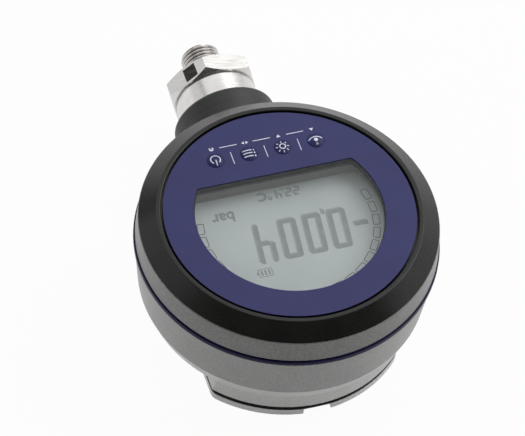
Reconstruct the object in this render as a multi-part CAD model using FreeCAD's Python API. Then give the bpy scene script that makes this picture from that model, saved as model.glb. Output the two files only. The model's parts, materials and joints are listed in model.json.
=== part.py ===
import FreeCAD, Part
import math
import os

# A digital pressure gauge that lies on its back, in millimetres.
# The origin is the centre of the battery cover's outer face, +Z is the display's normal,
# +Y runs to the display's top edge and the process connection points along -Y.

V = FreeCAD.Vector
AXIS_Z = V(0, 0, 1)
AXIS_Y = V(0, 1, 0)

# Heights, stacked from the rest face up
COVER_THICKNESS = 2.85
COVER_SEAL_HEIGHT = 2.1
FOOT_HEIGHT = 8.2
EDGE_HEIGHT = 5.85
WALL_HEIGHT = 17.85
STRIPE_HEIGHT = 2.35
RING_HEIGHT = 8.95
BEZEL_HEIGHT = 4.4
FOIL_RECESS = 0.2

# Radii of the case, each a step from the one before
STRIPE_RADIUS = 50.0
STRIPE_PROUD = 0.4
WALL_TAPER = 2.1
EDGE_TAPER = 2.4
FOOT_TAPER = 1.7
COVER_INSET = 0.2
RING_SETBACK = 0.45
RING_TAPER = 0.45
BEZEL_INSET = 0.2
BEZEL_BAND = 5.45
LIP_WIDTH = 1.45
FOIL_GAP = 0.8

# Case walls and fits
CASE_WALL = 2.5
FLOOR_THICKNESS = 2.5
FOOT_CORNER = 4.0
SPIGOT_DEPTH = 1.6
SPIGOT_WALL = 2.1
SPIGOT_GAP = 0.4
LEDGE_HEIGHT = 4.45
PART_CLEARANCE = 0.1
NOTCH_WIDTH = 9.6
NOTCH_DEPTH = 2.0
SEAL_INSET = 0.4
SEAL_WIDTH = 2.0
STRIPE_ROUND = 0.6
RING_ROUND = 0.4
COVER_ROUND = 0.5

# Front: bezel inside, panel, foil, window and display
SKIRT_DEPTH = 4.0
SKIRT_WALL = 2.3
SKIRT_SETBACK = 1.4
FLANGE_WIDTH = 5.5
FLANGE_THICKNESS = 2.0
LIP_ROUND = 0.35
PANEL_THICKNESS = 2.4
FOIL_THICKNESS = 0.4
WINDOW_BORDER = 10.0
WINDOW_TO_KEYS = 9.5
WINDOW_CORNER = 1.2
PANE_THICKNESS = 1.5
PANE_LEDGE = 0.45
PANE_CHORD_LEDGE = 0.8
LCD_THICKNESS = 2.2
LCD_GAP = 4.0
LCD_FRAME_WALL = 0.9
LCD_FRAME_GAP = 0.9
LCD_PLATE_THICKNESS = 1.2
LCD_COLLAR_WALL = 0.9
LCD_OPENING_GROWTH = 1.4
BACKLIGHT_THICKNESS = 2.2
BOARD_THICKNESS = 1.6
BOARD_EDGE_GAP = 1.6

# Keys and their switches
KEY_NAMES = ("zero", "light", "menu", "power")
KEY_PITCH = 11.45
KEY_INSET = 15.05
KEY_RADIUS = 2.8
KEY_CAP = 0.9
KEY_DOME = 0.75
KEY_STEM_RADIUS = 1.4
KEY_TRAVEL = 0.35
KEY_SIDE_GAP = 0.1
KEY_END_GAP = 0.35
KEY_STEM_REACH = 0.5
SWITCH_WIDTH = 6.0
SWITCH_HEIGHT = 3.4
SWITCH_BUTTON_RADIUS = 1.7

# Battery cells, tray and contacts
CELL_RADIUS = 7.25
CELL_LENGTH = 49.2
CELL_NUB_RADIUS = 2.7
CELL_NUB_LENGTH = 1.3
CELL_COUNT = 3
CELL_PITCH = 15.2
CELL_CLEARANCE = 0.2
CELL_LIFT = 2.45
TRAY_WALL = 1.5
TRAY_ROOF = 1.4
TRAY_CLEARANCE = 0.2
TRAY_FLANGE = 3.5
TRAY_FLANGE_THICKNESS = 2.0
CONTACT_THICKNESS = 0.4
CONTACT_WIDTH = 9.0
CONTACT_SPRING = 4.4
CONTACT_GAP = 0.05

# Neck and swivel, along the connection's axis
PORT_HEIGHT = 20.9
NECK_RADIUS = 17.4
NECK_REACH = 15.4
NECK_ROUND = 1.9
SLEEVE_WALL = 2.45
PAD_SETBACK = 4.6
NUT_HEIGHT = 3.2
NUT_WALL = 2.5
SLEEVE_PROUD = 0.4
SHAFT_RADIUS = 10.0
SWIVEL_CLEARANCE = 0.05
WASHER_THICKNESS = 0.8
WASHER_WIDTH = 3.4
RETAINER_THICKNESS = 1.1
RETAINER_DEPTH = 0.9
RETAINER_WIDTH = 3.2
RETAINER_GAP = 0.1
SHAFT_TAIL = 1.2
O_RING_SECTION = 0.68
O_RING_GROOVE_WIDTH = 2.0
O_RING_PLACES = (6.0, 11.5)
STOP_PIN_RADIUS = 0.9
STOP_PIN_SEAT = 4.0
STOP_PIN_PROUD = 2.0
STOP_GROOVE_GAP = 0.3
SWIVEL_HALF_RANGE = 165.0

# Process connection outside the neck
COLLAR_RADIUS = 13.6
COLLAR_LENGTH = 8.9
COLLAR_CHAMFER = 0.5
COLLAR_GAP = 0.3
RELIEF_LENGTH = 0.4
RELIEF_RADIUS = 12.9
HEX_ACROSS_FLATS = 28.0
HEX_LENGTH = 6.8
HEX_TURN = 14.0
HEX_CHAMFER = 30.0
THREAD_RADIUS = 6.578
THREAD_LENGTH = 11.8
THREAD_RELIEF_LENGTH = 1.6
THREAD_RELIEF_DEPTH = 1.0
THREAD_TIP = 1.0
INLET_RADIUS = 2.5
POCKET_RADIUS = 7.4
POCKET_DEPTH = 13.0
SENSOR_LENGTH = 6.0
SENSOR_CAP_RADIUS = 3.2
SENSOR_CAP_LENGTH = 1.5

# Fasteners
CASE_SCREW_MARGIN = 0.4
CASE_SCREW_Y = 11.0
CASE_POST_RADIUS = 3.4
M3_RADIUS = 1.5
M3_HEAD_RADIUS = 2.75
M3_HEAD_HEIGHT = 2.4
M3_DRIVE = 2.5
SCREW_CLEARANCE = 0.2
THREAD_FIT = 0.01
CASE_SCREW_RECESS = 0.4
CASE_SCREW_BITE = 4.4
COVER_SCREW_MARGIN = 0.8
COVER_POST_RADIUS = 3.6
COVER_POST_HEIGHT = 9.0
COVER_SCREW_BITE = 6.0
COVER_SCREW_HEAD = 1.5
COVER_SCREW_DRIVE = 2.0
BOARD_SCREW_ANGLES = (60.0, 120.0, 240.0, 300.0)
BOARD_POST_RADIUS = 2.0
BOARD_POST_MARGIN = 0.5
M2_RADIUS = 1.0
M2_HEAD_RADIUS = 1.8
M2_HEAD_HEIGHT = 1.3
M2_DRIVE = 1.3
BOARD_SCREW_BITE = 3.4
DRIVE_FLOOR = 0.5

# Parts on the board's underside and the leads to them
SOCKET_SIZE = (8.0, 5.0, 4.0)
CHIP_SIZE = (12.0, 12.0, 1.4)
CHIP_PLACE = (0.0, 6.0)
LEAD_RADIUS = 1.1
LEAD_BEND = 4.0
SENSOR_LEAD_GAP = 0.3
SENSOR_LEAD_STANDOFF = 3.6
BATTERY_LEAD_PLACE = (20.0, -14.0)
BATTERY_LEAD_SHIFT = 9.0

# Heights worked out from the stack
foot_rim = COVER_THICKNESS + COVER_SEAL_HEIGHT
rear_edge_height = foot_rim + FOOT_HEIGHT
wall_foot_height = rear_edge_height + EDGE_HEIGHT
stripe_bottom = wall_foot_height + WALL_HEIGHT
stripe_top = stripe_bottom + STRIPE_HEIGHT
bezel_foot = stripe_top + RING_HEIGHT
lip_height = bezel_foot + BEZEL_HEIGHT
foil_top = lip_height - FOIL_RECESS
panel_top = foil_top - FOIL_THICKNESS
panel_bottom = panel_top - PANEL_THICKNESS
lcd_top = panel_bottom - LCD_GAP
lcd_bottom = lcd_top - LCD_THICKNESS
board_top = lcd_bottom - BACKLIGHT_THICKNESS
board_bottom = board_top - BOARD_THICKNESS
floor_top = rear_edge_height + FLOOR_THICKNESS
ledge_top = stripe_top + LEDGE_HEIGHT
register_floor = stripe_bottom - SPIGOT_DEPTH - SPIGOT_GAP

# Radii worked out from the stripe inwards
wall_top_radius = STRIPE_RADIUS - STRIPE_PROUD
wall_foot_radius = wall_top_radius - WALL_TAPER
rear_edge_radius = wall_foot_radius - EDGE_TAPER
foot_radius = rear_edge_radius - FOOT_TAPER
cover_radius = foot_radius - COVER_INSET
ring_foot_radius = STRIPE_RADIUS - RING_SETBACK
ring_top_radius = ring_foot_radius - RING_TAPER
bezel_foot_radius = ring_top_radius - BEZEL_INSET
lip_radius = bezel_foot_radius - BEZEL_BAND
lip_inner_radius = lip_radius - LIP_WIDTH
foil_radius = lip_inner_radius - FOIL_GAP
spigot_outer = wall_top_radius - CASE_WALL - PART_CLEARANCE
spigot_inner = spigot_outer - SPIGOT_WALL
skirt_inner = lip_inner_radius + SKIRT_SETBACK
skirt_outer = skirt_inner + SKIRT_WALL

# Window and keys are set out from the foil's edge, the display from the bezel's flange and the keys
flange_inner = lip_inner_radius - FLANGE_WIDTH
board_screw_circle = flange_inner + BOARD_POST_RADIUS + BOARD_POST_MARGIN
key_row = foil_radius - KEY_INSET
window_radius = foil_radius - WINDOW_BORDER
window_chord = key_row - WINDOW_TO_KEYS
frame_radius = flange_inner - LCD_FRAME_GAP
frame_chord = key_row - SWITCH_WIDTH / 2 - LCD_FRAME_GAP
display_radius = frame_radius - LCD_FRAME_WALL - PART_CLEARANCE
display_chord = frame_chord - LCD_FRAME_WALL - PART_CLEARANCE

# The foot is as wide as the battery tray and its walls need
tray_half_length = CELL_LENGTH / 2 + CELL_NUB_LENGTH / 2 + CONTACT_SPRING / 2 + CONTACT_THICKNESS + TRAY_WALL
tray_half_width = CELL_PITCH * (CELL_COUNT - 1) / 2 + CELL_RADIUS + CELL_CLEARANCE + TRAY_WALL
foot_half_width = tray_half_length + TRAY_CLEARANCE + CASE_WALL
cell_axis_height = COVER_THICKNESS + CELL_LIFT + CELL_RADIUS
tray_top = cell_axis_height + CELL_RADIUS + CELL_CLEARANCE + TRAY_ROOF

# Screws stand clear of the spigot, the tray and both stretches of the seal
case_screw_circle = spigot_inner - CASE_POST_RADIUS - CASE_SCREW_MARGIN
case_screw_x = math.sqrt(case_screw_circle ** 2 - CASE_SCREW_Y ** 2)
cover_screw_edge = SEAL_INSET + SEAL_WIDTH + M3_HEAD_RADIUS + COVER_SCREW_MARGIN
cover_screw_y = tray_half_width + TRAY_CLEARANCE + COVER_POST_RADIUS
cover_screw_reach = math.sqrt((foot_radius - cover_screw_edge) ** 2 - cover_screw_y ** 2)
cover_screw_x = min(cover_screw_reach, foot_half_width - cover_screw_edge)

# Stations along the connection's axis, measured along Y
neck_rim = -(STRIPE_RADIUS + NECK_REACH)
pad_face = -(foot_radius - PAD_SETBACK)
nut_end = pad_face + NUT_HEIGHT
sleeve_end = nut_end + SLEEVE_PROUD
washer_end = sleeve_end + WASHER_THICKNESS
retainer_start = washer_end + RETAINER_GAP
retainer_end = retainer_start + RETAINER_THICKNESS
shaft_end = retainer_end + SHAFT_TAIL
collar_start = neck_rim - COLLAR_GAP
collar_end = collar_start - COLLAR_LENGTH
hex_start = collar_end - RELIEF_LENGTH
hex_end = hex_start - HEX_LENGTH
thread_end = hex_end - THREAD_LENGTH
pocket_floor = shaft_end - POCKET_DEPTH
bore_radius = SHAFT_RADIUS + SWIVEL_CLEARANCE
sleeve_radius = bore_radius + SLEEVE_WALL
stop_circle = (bore_radius + COLLAR_RADIUS) / 2


def save(name, shape):
    """Write one node's solids to its own file."""
    shape.exportStep("parts/" + name + ".step")


def box(x0, x1, y0, y1, z0, z1):
    """Box between two corners."""
    return Part.makeBox(x1 - x0, y1 - y0, z1 - z0, V(x0, y0, z0))


def post(x, y, radius, bottom, top):
    """Upright cylinder."""
    return Part.makeCylinder(radius, top - bottom, V(x, y, bottom), AXIS_Z)


def rod(radius, start, end):
    """Cylinder on the connection's axis between two stations."""
    return Part.makeCylinder(radius, end - start, V(0, start, PORT_HEIGHT), AXIS_Y)


def tube(outer, inner, start, end):
    """Ring on the connection's axis between two stations."""
    return rod(outer, start, end).cut(rod(inner, start, end))


def spun(profile):
    """Solid of revolution about the gauge's axis, from (radius, height) corners."""
    corners = [V(radius, 0, height) for radius, height in profile]
    face = Part.Face(Part.makePolygon(corners + corners[:1]))
    return face.revolve(V(0, 0, 0), AXIS_Z, 360)


def turned(profile):
    """Solid of revolution about the connection's axis, from (radius, station) corners."""
    corners = [V(radius, station, PORT_HEIGHT) for radius, station in profile]
    face = Part.Face(Part.makePolygon(corners + corners[:1]))
    return face.revolve(V(0, 0, PORT_HEIGHT), AXIS_Y, 360)


def upright_edges(shape):
    """Straight edges that run along Z."""
    found = []
    for edge in shape.Edges:
        first, last = edge.Vertexes[0].Point, edge.Vertexes[-1].Point
        if math.hypot(first.x - last.x, first.y - last.y) < 1e-6 and abs(first.z - last.z) > 1e-6:
            found.append(edge)
    return found


def level_edges(shape, height):
    """Edges that lie at one height."""
    found = []
    for edge in shape.Edges:
        span = edge.BoundBox
        if max(abs(span.ZMin - height), abs(span.ZMax - height)) < 1e-5:
            found.append(edge)
    return found


def circle_edges(shape, radius, centre):
    """Round edges of one radius about one centre."""
    found = []
    for edge in shape.Edges:
        if isinstance(edge.Curve, Part.Circle):
            same_place = edge.Curve.Center.distanceToPoint(centre) < 1e-6
            if same_place and abs(edge.Curve.Radius - radius) < 1e-6:
                found.append(edge)
    return found


def window_plate(radius, chord, bottom, top, corner=0.0):
    """Plate of the window's outline: an arc over the display's top, closed by a chord."""
    half = math.sqrt(radius ** 2 - chord ** 2)
    right = V(half, -chord, bottom)
    left = V(-half, -chord, bottom)
    arc = Part.Arc(right, V(0, radius, bottom), left).toShape()
    plate = Part.Face(Part.Wire([arc, Part.makeLine(left, right)])).extrude(V(0, 0, top - bottom))
    if corner:
        plate = plate.makeFillet(corner, upright_edges(plate))
    return plate


def foot_plate(radius, half_width, bottom, top, corner):
    """Plate of the foot's outline: a disc cut straight at both sides, with rounded corners."""
    disc = post(0, 0, radius, bottom, top)
    plate = disc.common(box(-half_width, half_width, -radius, radius, bottom, top))
    corners = [edge for edge in upright_edges(plate) if abs(edge.Vertexes[0].Point.x) > half_width - 1e-6]
    return plate.makeFillet(corner, corners)


def case_radius(height):
    """Outer radius of the rear case at a height."""
    stations = (
        (foot_rim, foot_radius),
        (rear_edge_height, rear_edge_radius),
        (wall_foot_height, wall_foot_radius),
        (stripe_bottom, wall_top_radius),
    )
    for (low, low_radius), (high, high_radius) in zip(stations, stations[1:]):
        if low <= height <= high:
            return low_radius + (high_radius - low_radius) * (height - low) / (high - low)
    return wall_top_radius


def corners_of(x, y):
    """The four mirrored places of a fastener."""
    return [(sx * x, sy * y) for sx in (1, -1) for sy in (1, -1)]


def on_circle(radius, angles):
    """Places on a circle about the gauge's axis."""
    return [(radius * math.cos(math.radians(a)), radius * math.sin(math.radians(a))) for a in angles]


def key_places():
    """Name and place of each key, from the display's left to its right."""
    first = -KEY_PITCH * (len(KEY_NAMES) - 1) / 2
    return [(name, first + KEY_PITCH * index, -key_row) for index, name in enumerate(KEY_NAMES)]


def hexagon_outline(across_flats, turn):
    """Corners of a hexagon about the origin, the first at an angle in degrees."""
    radius = across_flats / 2 / math.cos(math.pi / 6)
    angles = [math.radians(turn + 60.0 * index) for index in range(6)]
    return [(radius * math.cos(angle), radius * math.sin(angle)) for angle in angles]


def drive(x, y, across_flats, bottom, head_height):
    """Hexagon socket in the underside of a screw's head."""
    corners = [V(x + dx, y + dy, bottom) for dx, dy in hexagon_outline(across_flats, 0)]
    face = Part.Face(Part.makePolygon(corners + corners[:1]))
    return face.extrude(V(0, 0, head_height - DRIVE_FLOOR))


def screw(x, y, head_bottom, head_height, head_radius, radius, tip, across_flats):
    """Cap screw driven upwards."""
    head = post(x, y, head_radius, head_bottom, head_bottom + head_height)
    shank = post(x, y, radius, head_bottom + head_height, tip)
    return head.fuse(shank).cut(drive(x, y, across_flats, head_bottom, head_height))


def lead(points):
    """Round lead along straight runs with rounded corners."""
    edges = []
    start = points[0]
    for before, corner, after in zip(points, points[1:], points[2:]):
        back = (before - corner).normalize()
        ahead = (after - corner).normalize()
        half_turn = (math.pi - back.getAngle(ahead)) / 2
        setback = LEAD_BEND * math.tan(half_turn)
        bend_in = corner + back * setback
        bend_out = corner + ahead * setback
        towards = (back + ahead).normalize()
        middle = corner + towards * (LEAD_BEND / math.cos(half_turn) - LEAD_BEND)
        edges.append(Part.makeLine(start, bend_in))
        edges.append(Part.Arc(bend_in, middle, bend_out).toShape())
        start = bend_out
    edges.append(Part.makeLine(start, points[-1]))
    path = Part.Wire(edges)
    direction = (points[1] - points[0]).normalize()
    section = Part.Wire(Part.makeCircle(LEAD_RADIUS, points[0], direction))
    return path.makePipeShell([section], True, False)


def rear_case():
    """Tapered bowl, its straight-sided foot, the screw posts and the seat of the neck."""
    bowl = spun([
        (0, rear_edge_height), (rear_edge_radius, rear_edge_height),
        (wall_foot_radius, wall_foot_height), (wall_top_radius, stripe_bottom), (0, stripe_bottom),
    ])
    foot = spun([
        (0, foot_rim), (foot_radius, foot_rim), (rear_edge_radius, rear_edge_height), (0, rear_edge_height),
    ])
    foot = foot.common(foot_plate(rear_edge_radius, foot_half_width, foot_rim, rear_edge_height, FOOT_CORNER))
    outer = bowl.fuse(foot)
    inside = spun([
        (0, floor_top), (case_radius(floor_top) - CASE_WALL, floor_top),
        (wall_foot_radius - CASE_WALL, wall_foot_height),
        (wall_top_radius - CASE_WALL, stripe_bottom), (0, stripe_bottom),
    ])
    compartment = spun([
        (0, foot_rim), (foot_radius - CASE_WALL, foot_rim),
        (rear_edge_radius - CASE_WALL, rear_edge_height),
        (case_radius(floor_top) - CASE_WALL, floor_top), (0, floor_top),
    ])
    inner_half = foot_half_width - CASE_WALL
    compartment = compartment.common(box(
        -inner_half, inner_half, -STRIPE_RADIUS, STRIPE_RADIUS, foot_rim, floor_top))
    shell = outer.cut(inside.fuse(compartment))
    seat_radius = sleeve_radius + NUT_WALL + PART_CLEARANCE
    shell = shell.fuse(rod(seat_radius, -STRIPE_RADIUS, pad_face).common(outer))
    shell = shell.cut(rod(seat_radius, pad_face, shaft_end))
    shell = shell.cut(rod(sleeve_radius + PART_CLEARANCE, -STRIPE_RADIUS, pad_face))
    shell = shell.cut(post(0, 0, wall_top_radius - CASE_WALL, register_floor, stripe_bottom))
    for x, y in corners_of(case_screw_x, CASE_SCREW_Y):
        shell = shell.fuse(post(x, y, CASE_POST_RADIUS, rear_edge_height, stripe_bottom).common(bowl))
    cover_post_top = foot_rim + COVER_POST_HEIGHT
    for x, y in corners_of(cover_screw_x, cover_screw_y):
        shell = shell.fuse(post(x, y, COVER_POST_RADIUS, foot_rim, cover_post_top).common(outer))
    head_top = rear_edge_height + CASE_SCREW_RECESS + M3_HEAD_HEIGHT
    for x, y in corners_of(case_screw_x, CASE_SCREW_Y):
        shell = shell.cut(post(x, y, M3_HEAD_RADIUS + SCREW_CLEARANCE, rear_edge_height, head_top))
        shell = shell.cut(post(x, y, M3_RADIUS + SCREW_CLEARANCE, head_top, stripe_bottom))
    drill_top = foot_rim + COVER_SCREW_BITE + M3_RADIUS
    for x, y in corners_of(cover_screw_x, cover_screw_y):
        shell = shell.cut(post(x, y, M3_RADIUS + THREAD_FIT, foot_rim, drill_top))
    return shell.removeSplitter()


def battery_cover():
    """Plate under the foot, with its notch, countersinks and a pad round each screw."""
    width = foot_half_width - COVER_INSET
    plate = foot_plate(cover_radius, width, 0, COVER_THICKNESS, FOOT_CORNER)
    plate = plate.makeFillet(COVER_ROUND, level_edges(plate, 0))
    half = NOTCH_WIDTH / 2
    plate = plate.cut(box(-half, half, cover_radius - NOTCH_DEPTH, STRIPE_RADIUS, 0, COVER_THICKNESS))
    pad_top = foot_rim
    for x, y in corners_of(cover_screw_x, cover_screw_y):
        plate = plate.fuse(post(x, y, M3_HEAD_RADIUS, COVER_THICKNESS, pad_top))
    for x, y in corners_of(cover_screw_x, cover_screw_y):
        plate = plate.cut(post(x, y, M3_RADIUS + SCREW_CLEARANCE, 0, pad_top))
        plate = plate.cut(cover_screw_head(x, y, SCREW_CLEARANCE / 2))
    return plate.removeSplitter()


def cover_screw_head(x, y, grow):
    """Countersunk head, flush with the cover's outer face."""
    wide = M3_HEAD_RADIUS + grow
    return Part.makeCone(wide, M3_RADIUS + grow, COVER_SCREW_HEAD, V(x, y, 0), AXIS_Z)


def cover_screws():
    """Four countersunk screws."""
    made = []
    for x, y in corners_of(cover_screw_x, cover_screw_y):
        shank = post(x, y, M3_RADIUS, COVER_SCREW_HEAD, foot_rim + COVER_SCREW_BITE)
        socket = drive(x, y, COVER_SCREW_DRIVE, 0, COVER_SCREW_HEAD)
        made.append(cover_screw_head(x, y, 0).fuse(shank).cut(socket))
    return Part.makeCompound(made)


def cover_seal():
    """Flat gasket between the foot and the cover, set back a little from both."""
    outer = foot_radius - SEAL_INSET
    inner = outer - SEAL_WIDTH
    half = foot_half_width - SEAL_INSET
    ring = foot_plate(outer, half, COVER_THICKNESS, foot_rim, FOOT_CORNER)
    hole = foot_plate(inner, half - SEAL_WIDTH, COVER_THICKNESS, foot_rim, FOOT_CORNER)
    return ring.cut(hole)


def stripe_seal():
    """Coloured ring between the case halves, rounded where it shows."""
    inner = spigot_outer + PART_CLEARANCE
    ring = spun([
        (inner, stripe_bottom), (STRIPE_RADIUS, stripe_bottom),
        (STRIPE_RADIUS, stripe_top), (inner, stripe_top),
    ])
    edges = circle_edges(ring, STRIPE_RADIUS, V(0, 0, stripe_bottom))
    edges += circle_edges(ring, STRIPE_RADIUS, V(0, 0, stripe_top))
    return ring.makeFillet(STRIPE_ROUND, edges)


def front_case():
    """Front ring with its centring spigot and four screw bosses."""
    ring = spun([
        (spigot_inner, stripe_bottom - SPIGOT_DEPTH), (spigot_outer, stripe_bottom - SPIGOT_DEPTH),
        (spigot_outer, stripe_top), (ring_foot_radius, stripe_top), (ring_top_radius, bezel_foot),
        (skirt_outer + PART_CLEARANCE, bezel_foot), (skirt_outer + PART_CLEARANCE, ledge_top),
        (spigot_inner, ledge_top),
    ])
    rounded = circle_edges(ring, ring_foot_radius, V(0, 0, stripe_top))
    rounded += circle_edges(ring, ring_top_radius, V(0, 0, bezel_foot))
    ring = ring.makeFillet(RING_ROUND, rounded)
    limit = post(0, 0, spigot_outer, stripe_bottom, ledge_top)
    for x, y in corners_of(case_screw_x, CASE_SCREW_Y):
        boss = post(x, y, CASE_POST_RADIUS, stripe_bottom, ledge_top)
        reach = math.copysign(spigot_outer, x)
        low, high = y - CASE_POST_RADIUS, y + CASE_POST_RADIUS
        web = box(min(x, reach), max(x, reach), low, high, stripe_top, ledge_top)
        ring = ring.fuse(boss.fuse(web).common(limit))
    for x, y in corners_of(case_screw_x, CASE_SCREW_Y):
        ring = ring.cut(post(x, y, M3_RADIUS + THREAD_FIT, stripe_bottom, ledge_top))
    return ring.removeSplitter()


def case_screws():
    """Four long screws that join the case halves from behind."""
    made = []
    for x, y in corners_of(case_screw_x, CASE_SCREW_Y):
        made.append(screw(
            x, y, rear_edge_height + CASE_SCREW_RECESS, M3_HEAD_HEIGHT, M3_HEAD_RADIUS, M3_RADIUS,
            stripe_bottom + CASE_SCREW_BITE, M3_DRIVE))
    return Part.makeCompound(made)


def front_bezel():
    """Sloped ring with a flat lip, a skirt in the front case, a flange and the board's posts."""
    flange_bottom = panel_bottom - FLANGE_THICKNESS
    ring = spun([
        (bezel_foot_radius, bezel_foot), (lip_radius, lip_height), (lip_inner_radius, lip_height),
        (lip_inner_radius, panel_bottom), (flange_inner, panel_bottom), (flange_inner, flange_bottom),
        (skirt_inner, flange_bottom), (skirt_inner, bezel_foot - SKIRT_DEPTH),
        (skirt_outer, bezel_foot - SKIRT_DEPTH), (skirt_outer, bezel_foot),
    ])
    rounded = circle_edges(ring, lip_radius, V(0, 0, lip_height))
    rounded += circle_edges(ring, lip_inner_radius, V(0, 0, lip_height))
    ring = ring.makeFillet(LIP_ROUND, rounded)
    for x, y in on_circle(board_screw_circle, BOARD_SCREW_ANGLES):
        ring = ring.fuse(post(x, y, BOARD_POST_RADIUS, board_top, panel_bottom))
    drill_top = board_top + BOARD_SCREW_BITE + M2_RADIUS
    for x, y in on_circle(board_screw_circle, BOARD_SCREW_ANGLES):
        ring = ring.cut(post(x, y, M2_RADIUS + THREAD_FIT, board_top, drill_top))
    return ring.removeSplitter()


def front_panel():
    """Plate behind the foil, with the window's ledge and a guide for each key."""
    panel = post(0, 0, foil_radius, panel_bottom, panel_top)
    rebate = panel_top - PANE_THICKNESS
    panel = panel.cut(window_plate(window_radius, window_chord, rebate, panel_top, WINDOW_CORNER))
    panel = panel.cut(sight_hole(panel_bottom, panel_top))
    pocket_bottom = foil_top - KEY_CAP - KEY_TRAVEL - KEY_END_GAP
    for _, x, y in key_places():
        panel = panel.cut(post(x, y, KEY_RADIUS + KEY_SIDE_GAP, pocket_bottom, panel_top))
        panel = panel.cut(post(x, y, KEY_STEM_RADIUS + KEY_SIDE_GAP, panel_bottom, panel_top))
    return panel


def keypad_foil():
    """Thin foil with the window cut-out and a hole for each dome."""
    foil = post(0, 0, foil_radius, panel_top, foil_top)
    foil = foil.cut(window_plate(window_radius, window_chord, panel_top, foil_top, WINDOW_CORNER))
    for _, x, y in key_places():
        foil = foil.cut(post(x, y, KEY_RADIUS + KEY_SIDE_GAP, panel_top, foil_top))
    return foil


def key(x, y):
    """Domed cap on a stem that reaches through the panel."""
    cap_bottom = foil_top - KEY_CAP
    cap = post(x, y, KEY_RADIUS, cap_bottom, foil_top)
    sphere_radius = (KEY_RADIUS ** 2 + KEY_DOME ** 2) / (2 * KEY_DOME)
    dome = Part.makeSphere(sphere_radius, V(x, y, foil_top + KEY_DOME - sphere_radius))
    dome = dome.common(post(x, y, KEY_RADIUS, foil_top, foil_top + KEY_DOME))
    stem = post(x, y, KEY_STEM_RADIUS, panel_bottom - KEY_STEM_REACH, cap_bottom)
    return cap.fuse(dome).fuse(stem).removeSplitter()


def key_switch(x, y):
    """Push switch on the board under a key."""
    half = SWITCH_WIDTH / 2
    body = box(x - half, x + half, y - half, y + half, board_top, board_top + SWITCH_HEIGHT)
    button_top = panel_bottom - KEY_STEM_REACH - KEY_TRAVEL - KEY_END_GAP
    return body.fuse(post(x, y, SWITCH_BUTTON_RADIUS, board_top + SWITCH_HEIGHT, button_top))


def window_pane():
    """Clear pane in the panel's rebate."""
    return window_plate(
        window_radius - PART_CLEARANCE, window_chord - PART_CLEARANCE, panel_top - PANE_THICKNESS, panel_top,
        WINDOW_CORNER)


def display_plate(bottom, top):
    """Plate of the display's outline."""
    return window_plate(display_radius, display_chord, bottom, top)


def sight_hole(bottom, top, arc_growth=0.0, chord_growth=0.0):
    """Plate of the outline that stays open over the display."""
    radius = window_radius - PANE_LEDGE + arc_growth
    chord = window_chord - PANE_CHORD_LEDGE + chord_growth
    return window_plate(radius, chord, bottom, top, WINDOW_CORNER)


def lcd_frame():
    """Holder round the display and the light plate, with a collar up to the front panel."""
    collar_growth = LCD_OPENING_GROWTH + LCD_COLLAR_WALL
    plate_bottom = lcd_top + PART_CLEARANCE
    plate_top = plate_bottom + LCD_PLATE_THICKNESS
    frame = window_plate(frame_radius, frame_chord, board_top, plate_top)
    frame = frame.fuse(sight_hole(plate_bottom, panel_bottom, collar_growth, LCD_COLLAR_WALL))
    seat_radius = display_radius + PART_CLEARANCE
    seat_chord = display_chord + PART_CLEARANCE
    frame = frame.cut(window_plate(seat_radius, seat_chord, board_top, plate_bottom))
    return frame.cut(sight_hole(board_top, panel_bottom, LCD_OPENING_GROWTH)).removeSplitter()


def main_board():
    """Round board, notched round the screw bosses."""
    board = post(0, 0, skirt_inner - BOARD_EDGE_GAP, board_bottom, board_top)
    for x, y in corners_of(case_screw_x, CASE_SCREW_Y):
        reach = math.copysign(STRIPE_RADIUS, x)
        half = CASE_POST_RADIUS + BOARD_EDGE_GAP / 2
        board = board.cut(post(x, y, half, board_bottom, board_top))
        board = board.cut(box(min(x, reach), max(x, reach), y - half, y + half, board_bottom, board_top))
    for x, y in on_circle(board_screw_circle, BOARD_SCREW_ANGLES):
        board = board.cut(post(x, y, M2_RADIUS + SCREW_CLEARANCE, board_bottom, board_top))
    return board


def board_screws():
    """Four small screws that hold the board to the bezel's posts."""
    made = []
    for x, y in on_circle(board_screw_circle, BOARD_SCREW_ANGLES):
        made.append(screw(
            x, y, board_bottom - M2_HEAD_HEIGHT, M2_HEAD_HEIGHT, M2_HEAD_RADIUS, M2_RADIUS,
            board_top + BOARD_SCREW_BITE, M2_DRIVE))
    return Part.makeCompound(made)


def under_board(place, size):
    """Block on the board's underside."""
    x, y = place
    width, depth, height = size
    corner = V(x - width / 2, y - depth / 2, board_bottom - height)
    return Part.makeBox(width, depth, height, corner)


def cell_rows():
    """Number, place and direction of each cell; neighbours lie opposite ways."""
    first = -CELL_PITCH * (CELL_COUNT - 1) / 2
    return [(index + 1, first + CELL_PITCH * index, (-1) ** index) for index in range(CELL_COUNT)]


def trough_half_length():
    """Half the room inside the tray along a cell."""
    return tray_half_length - TRAY_WALL


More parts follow.
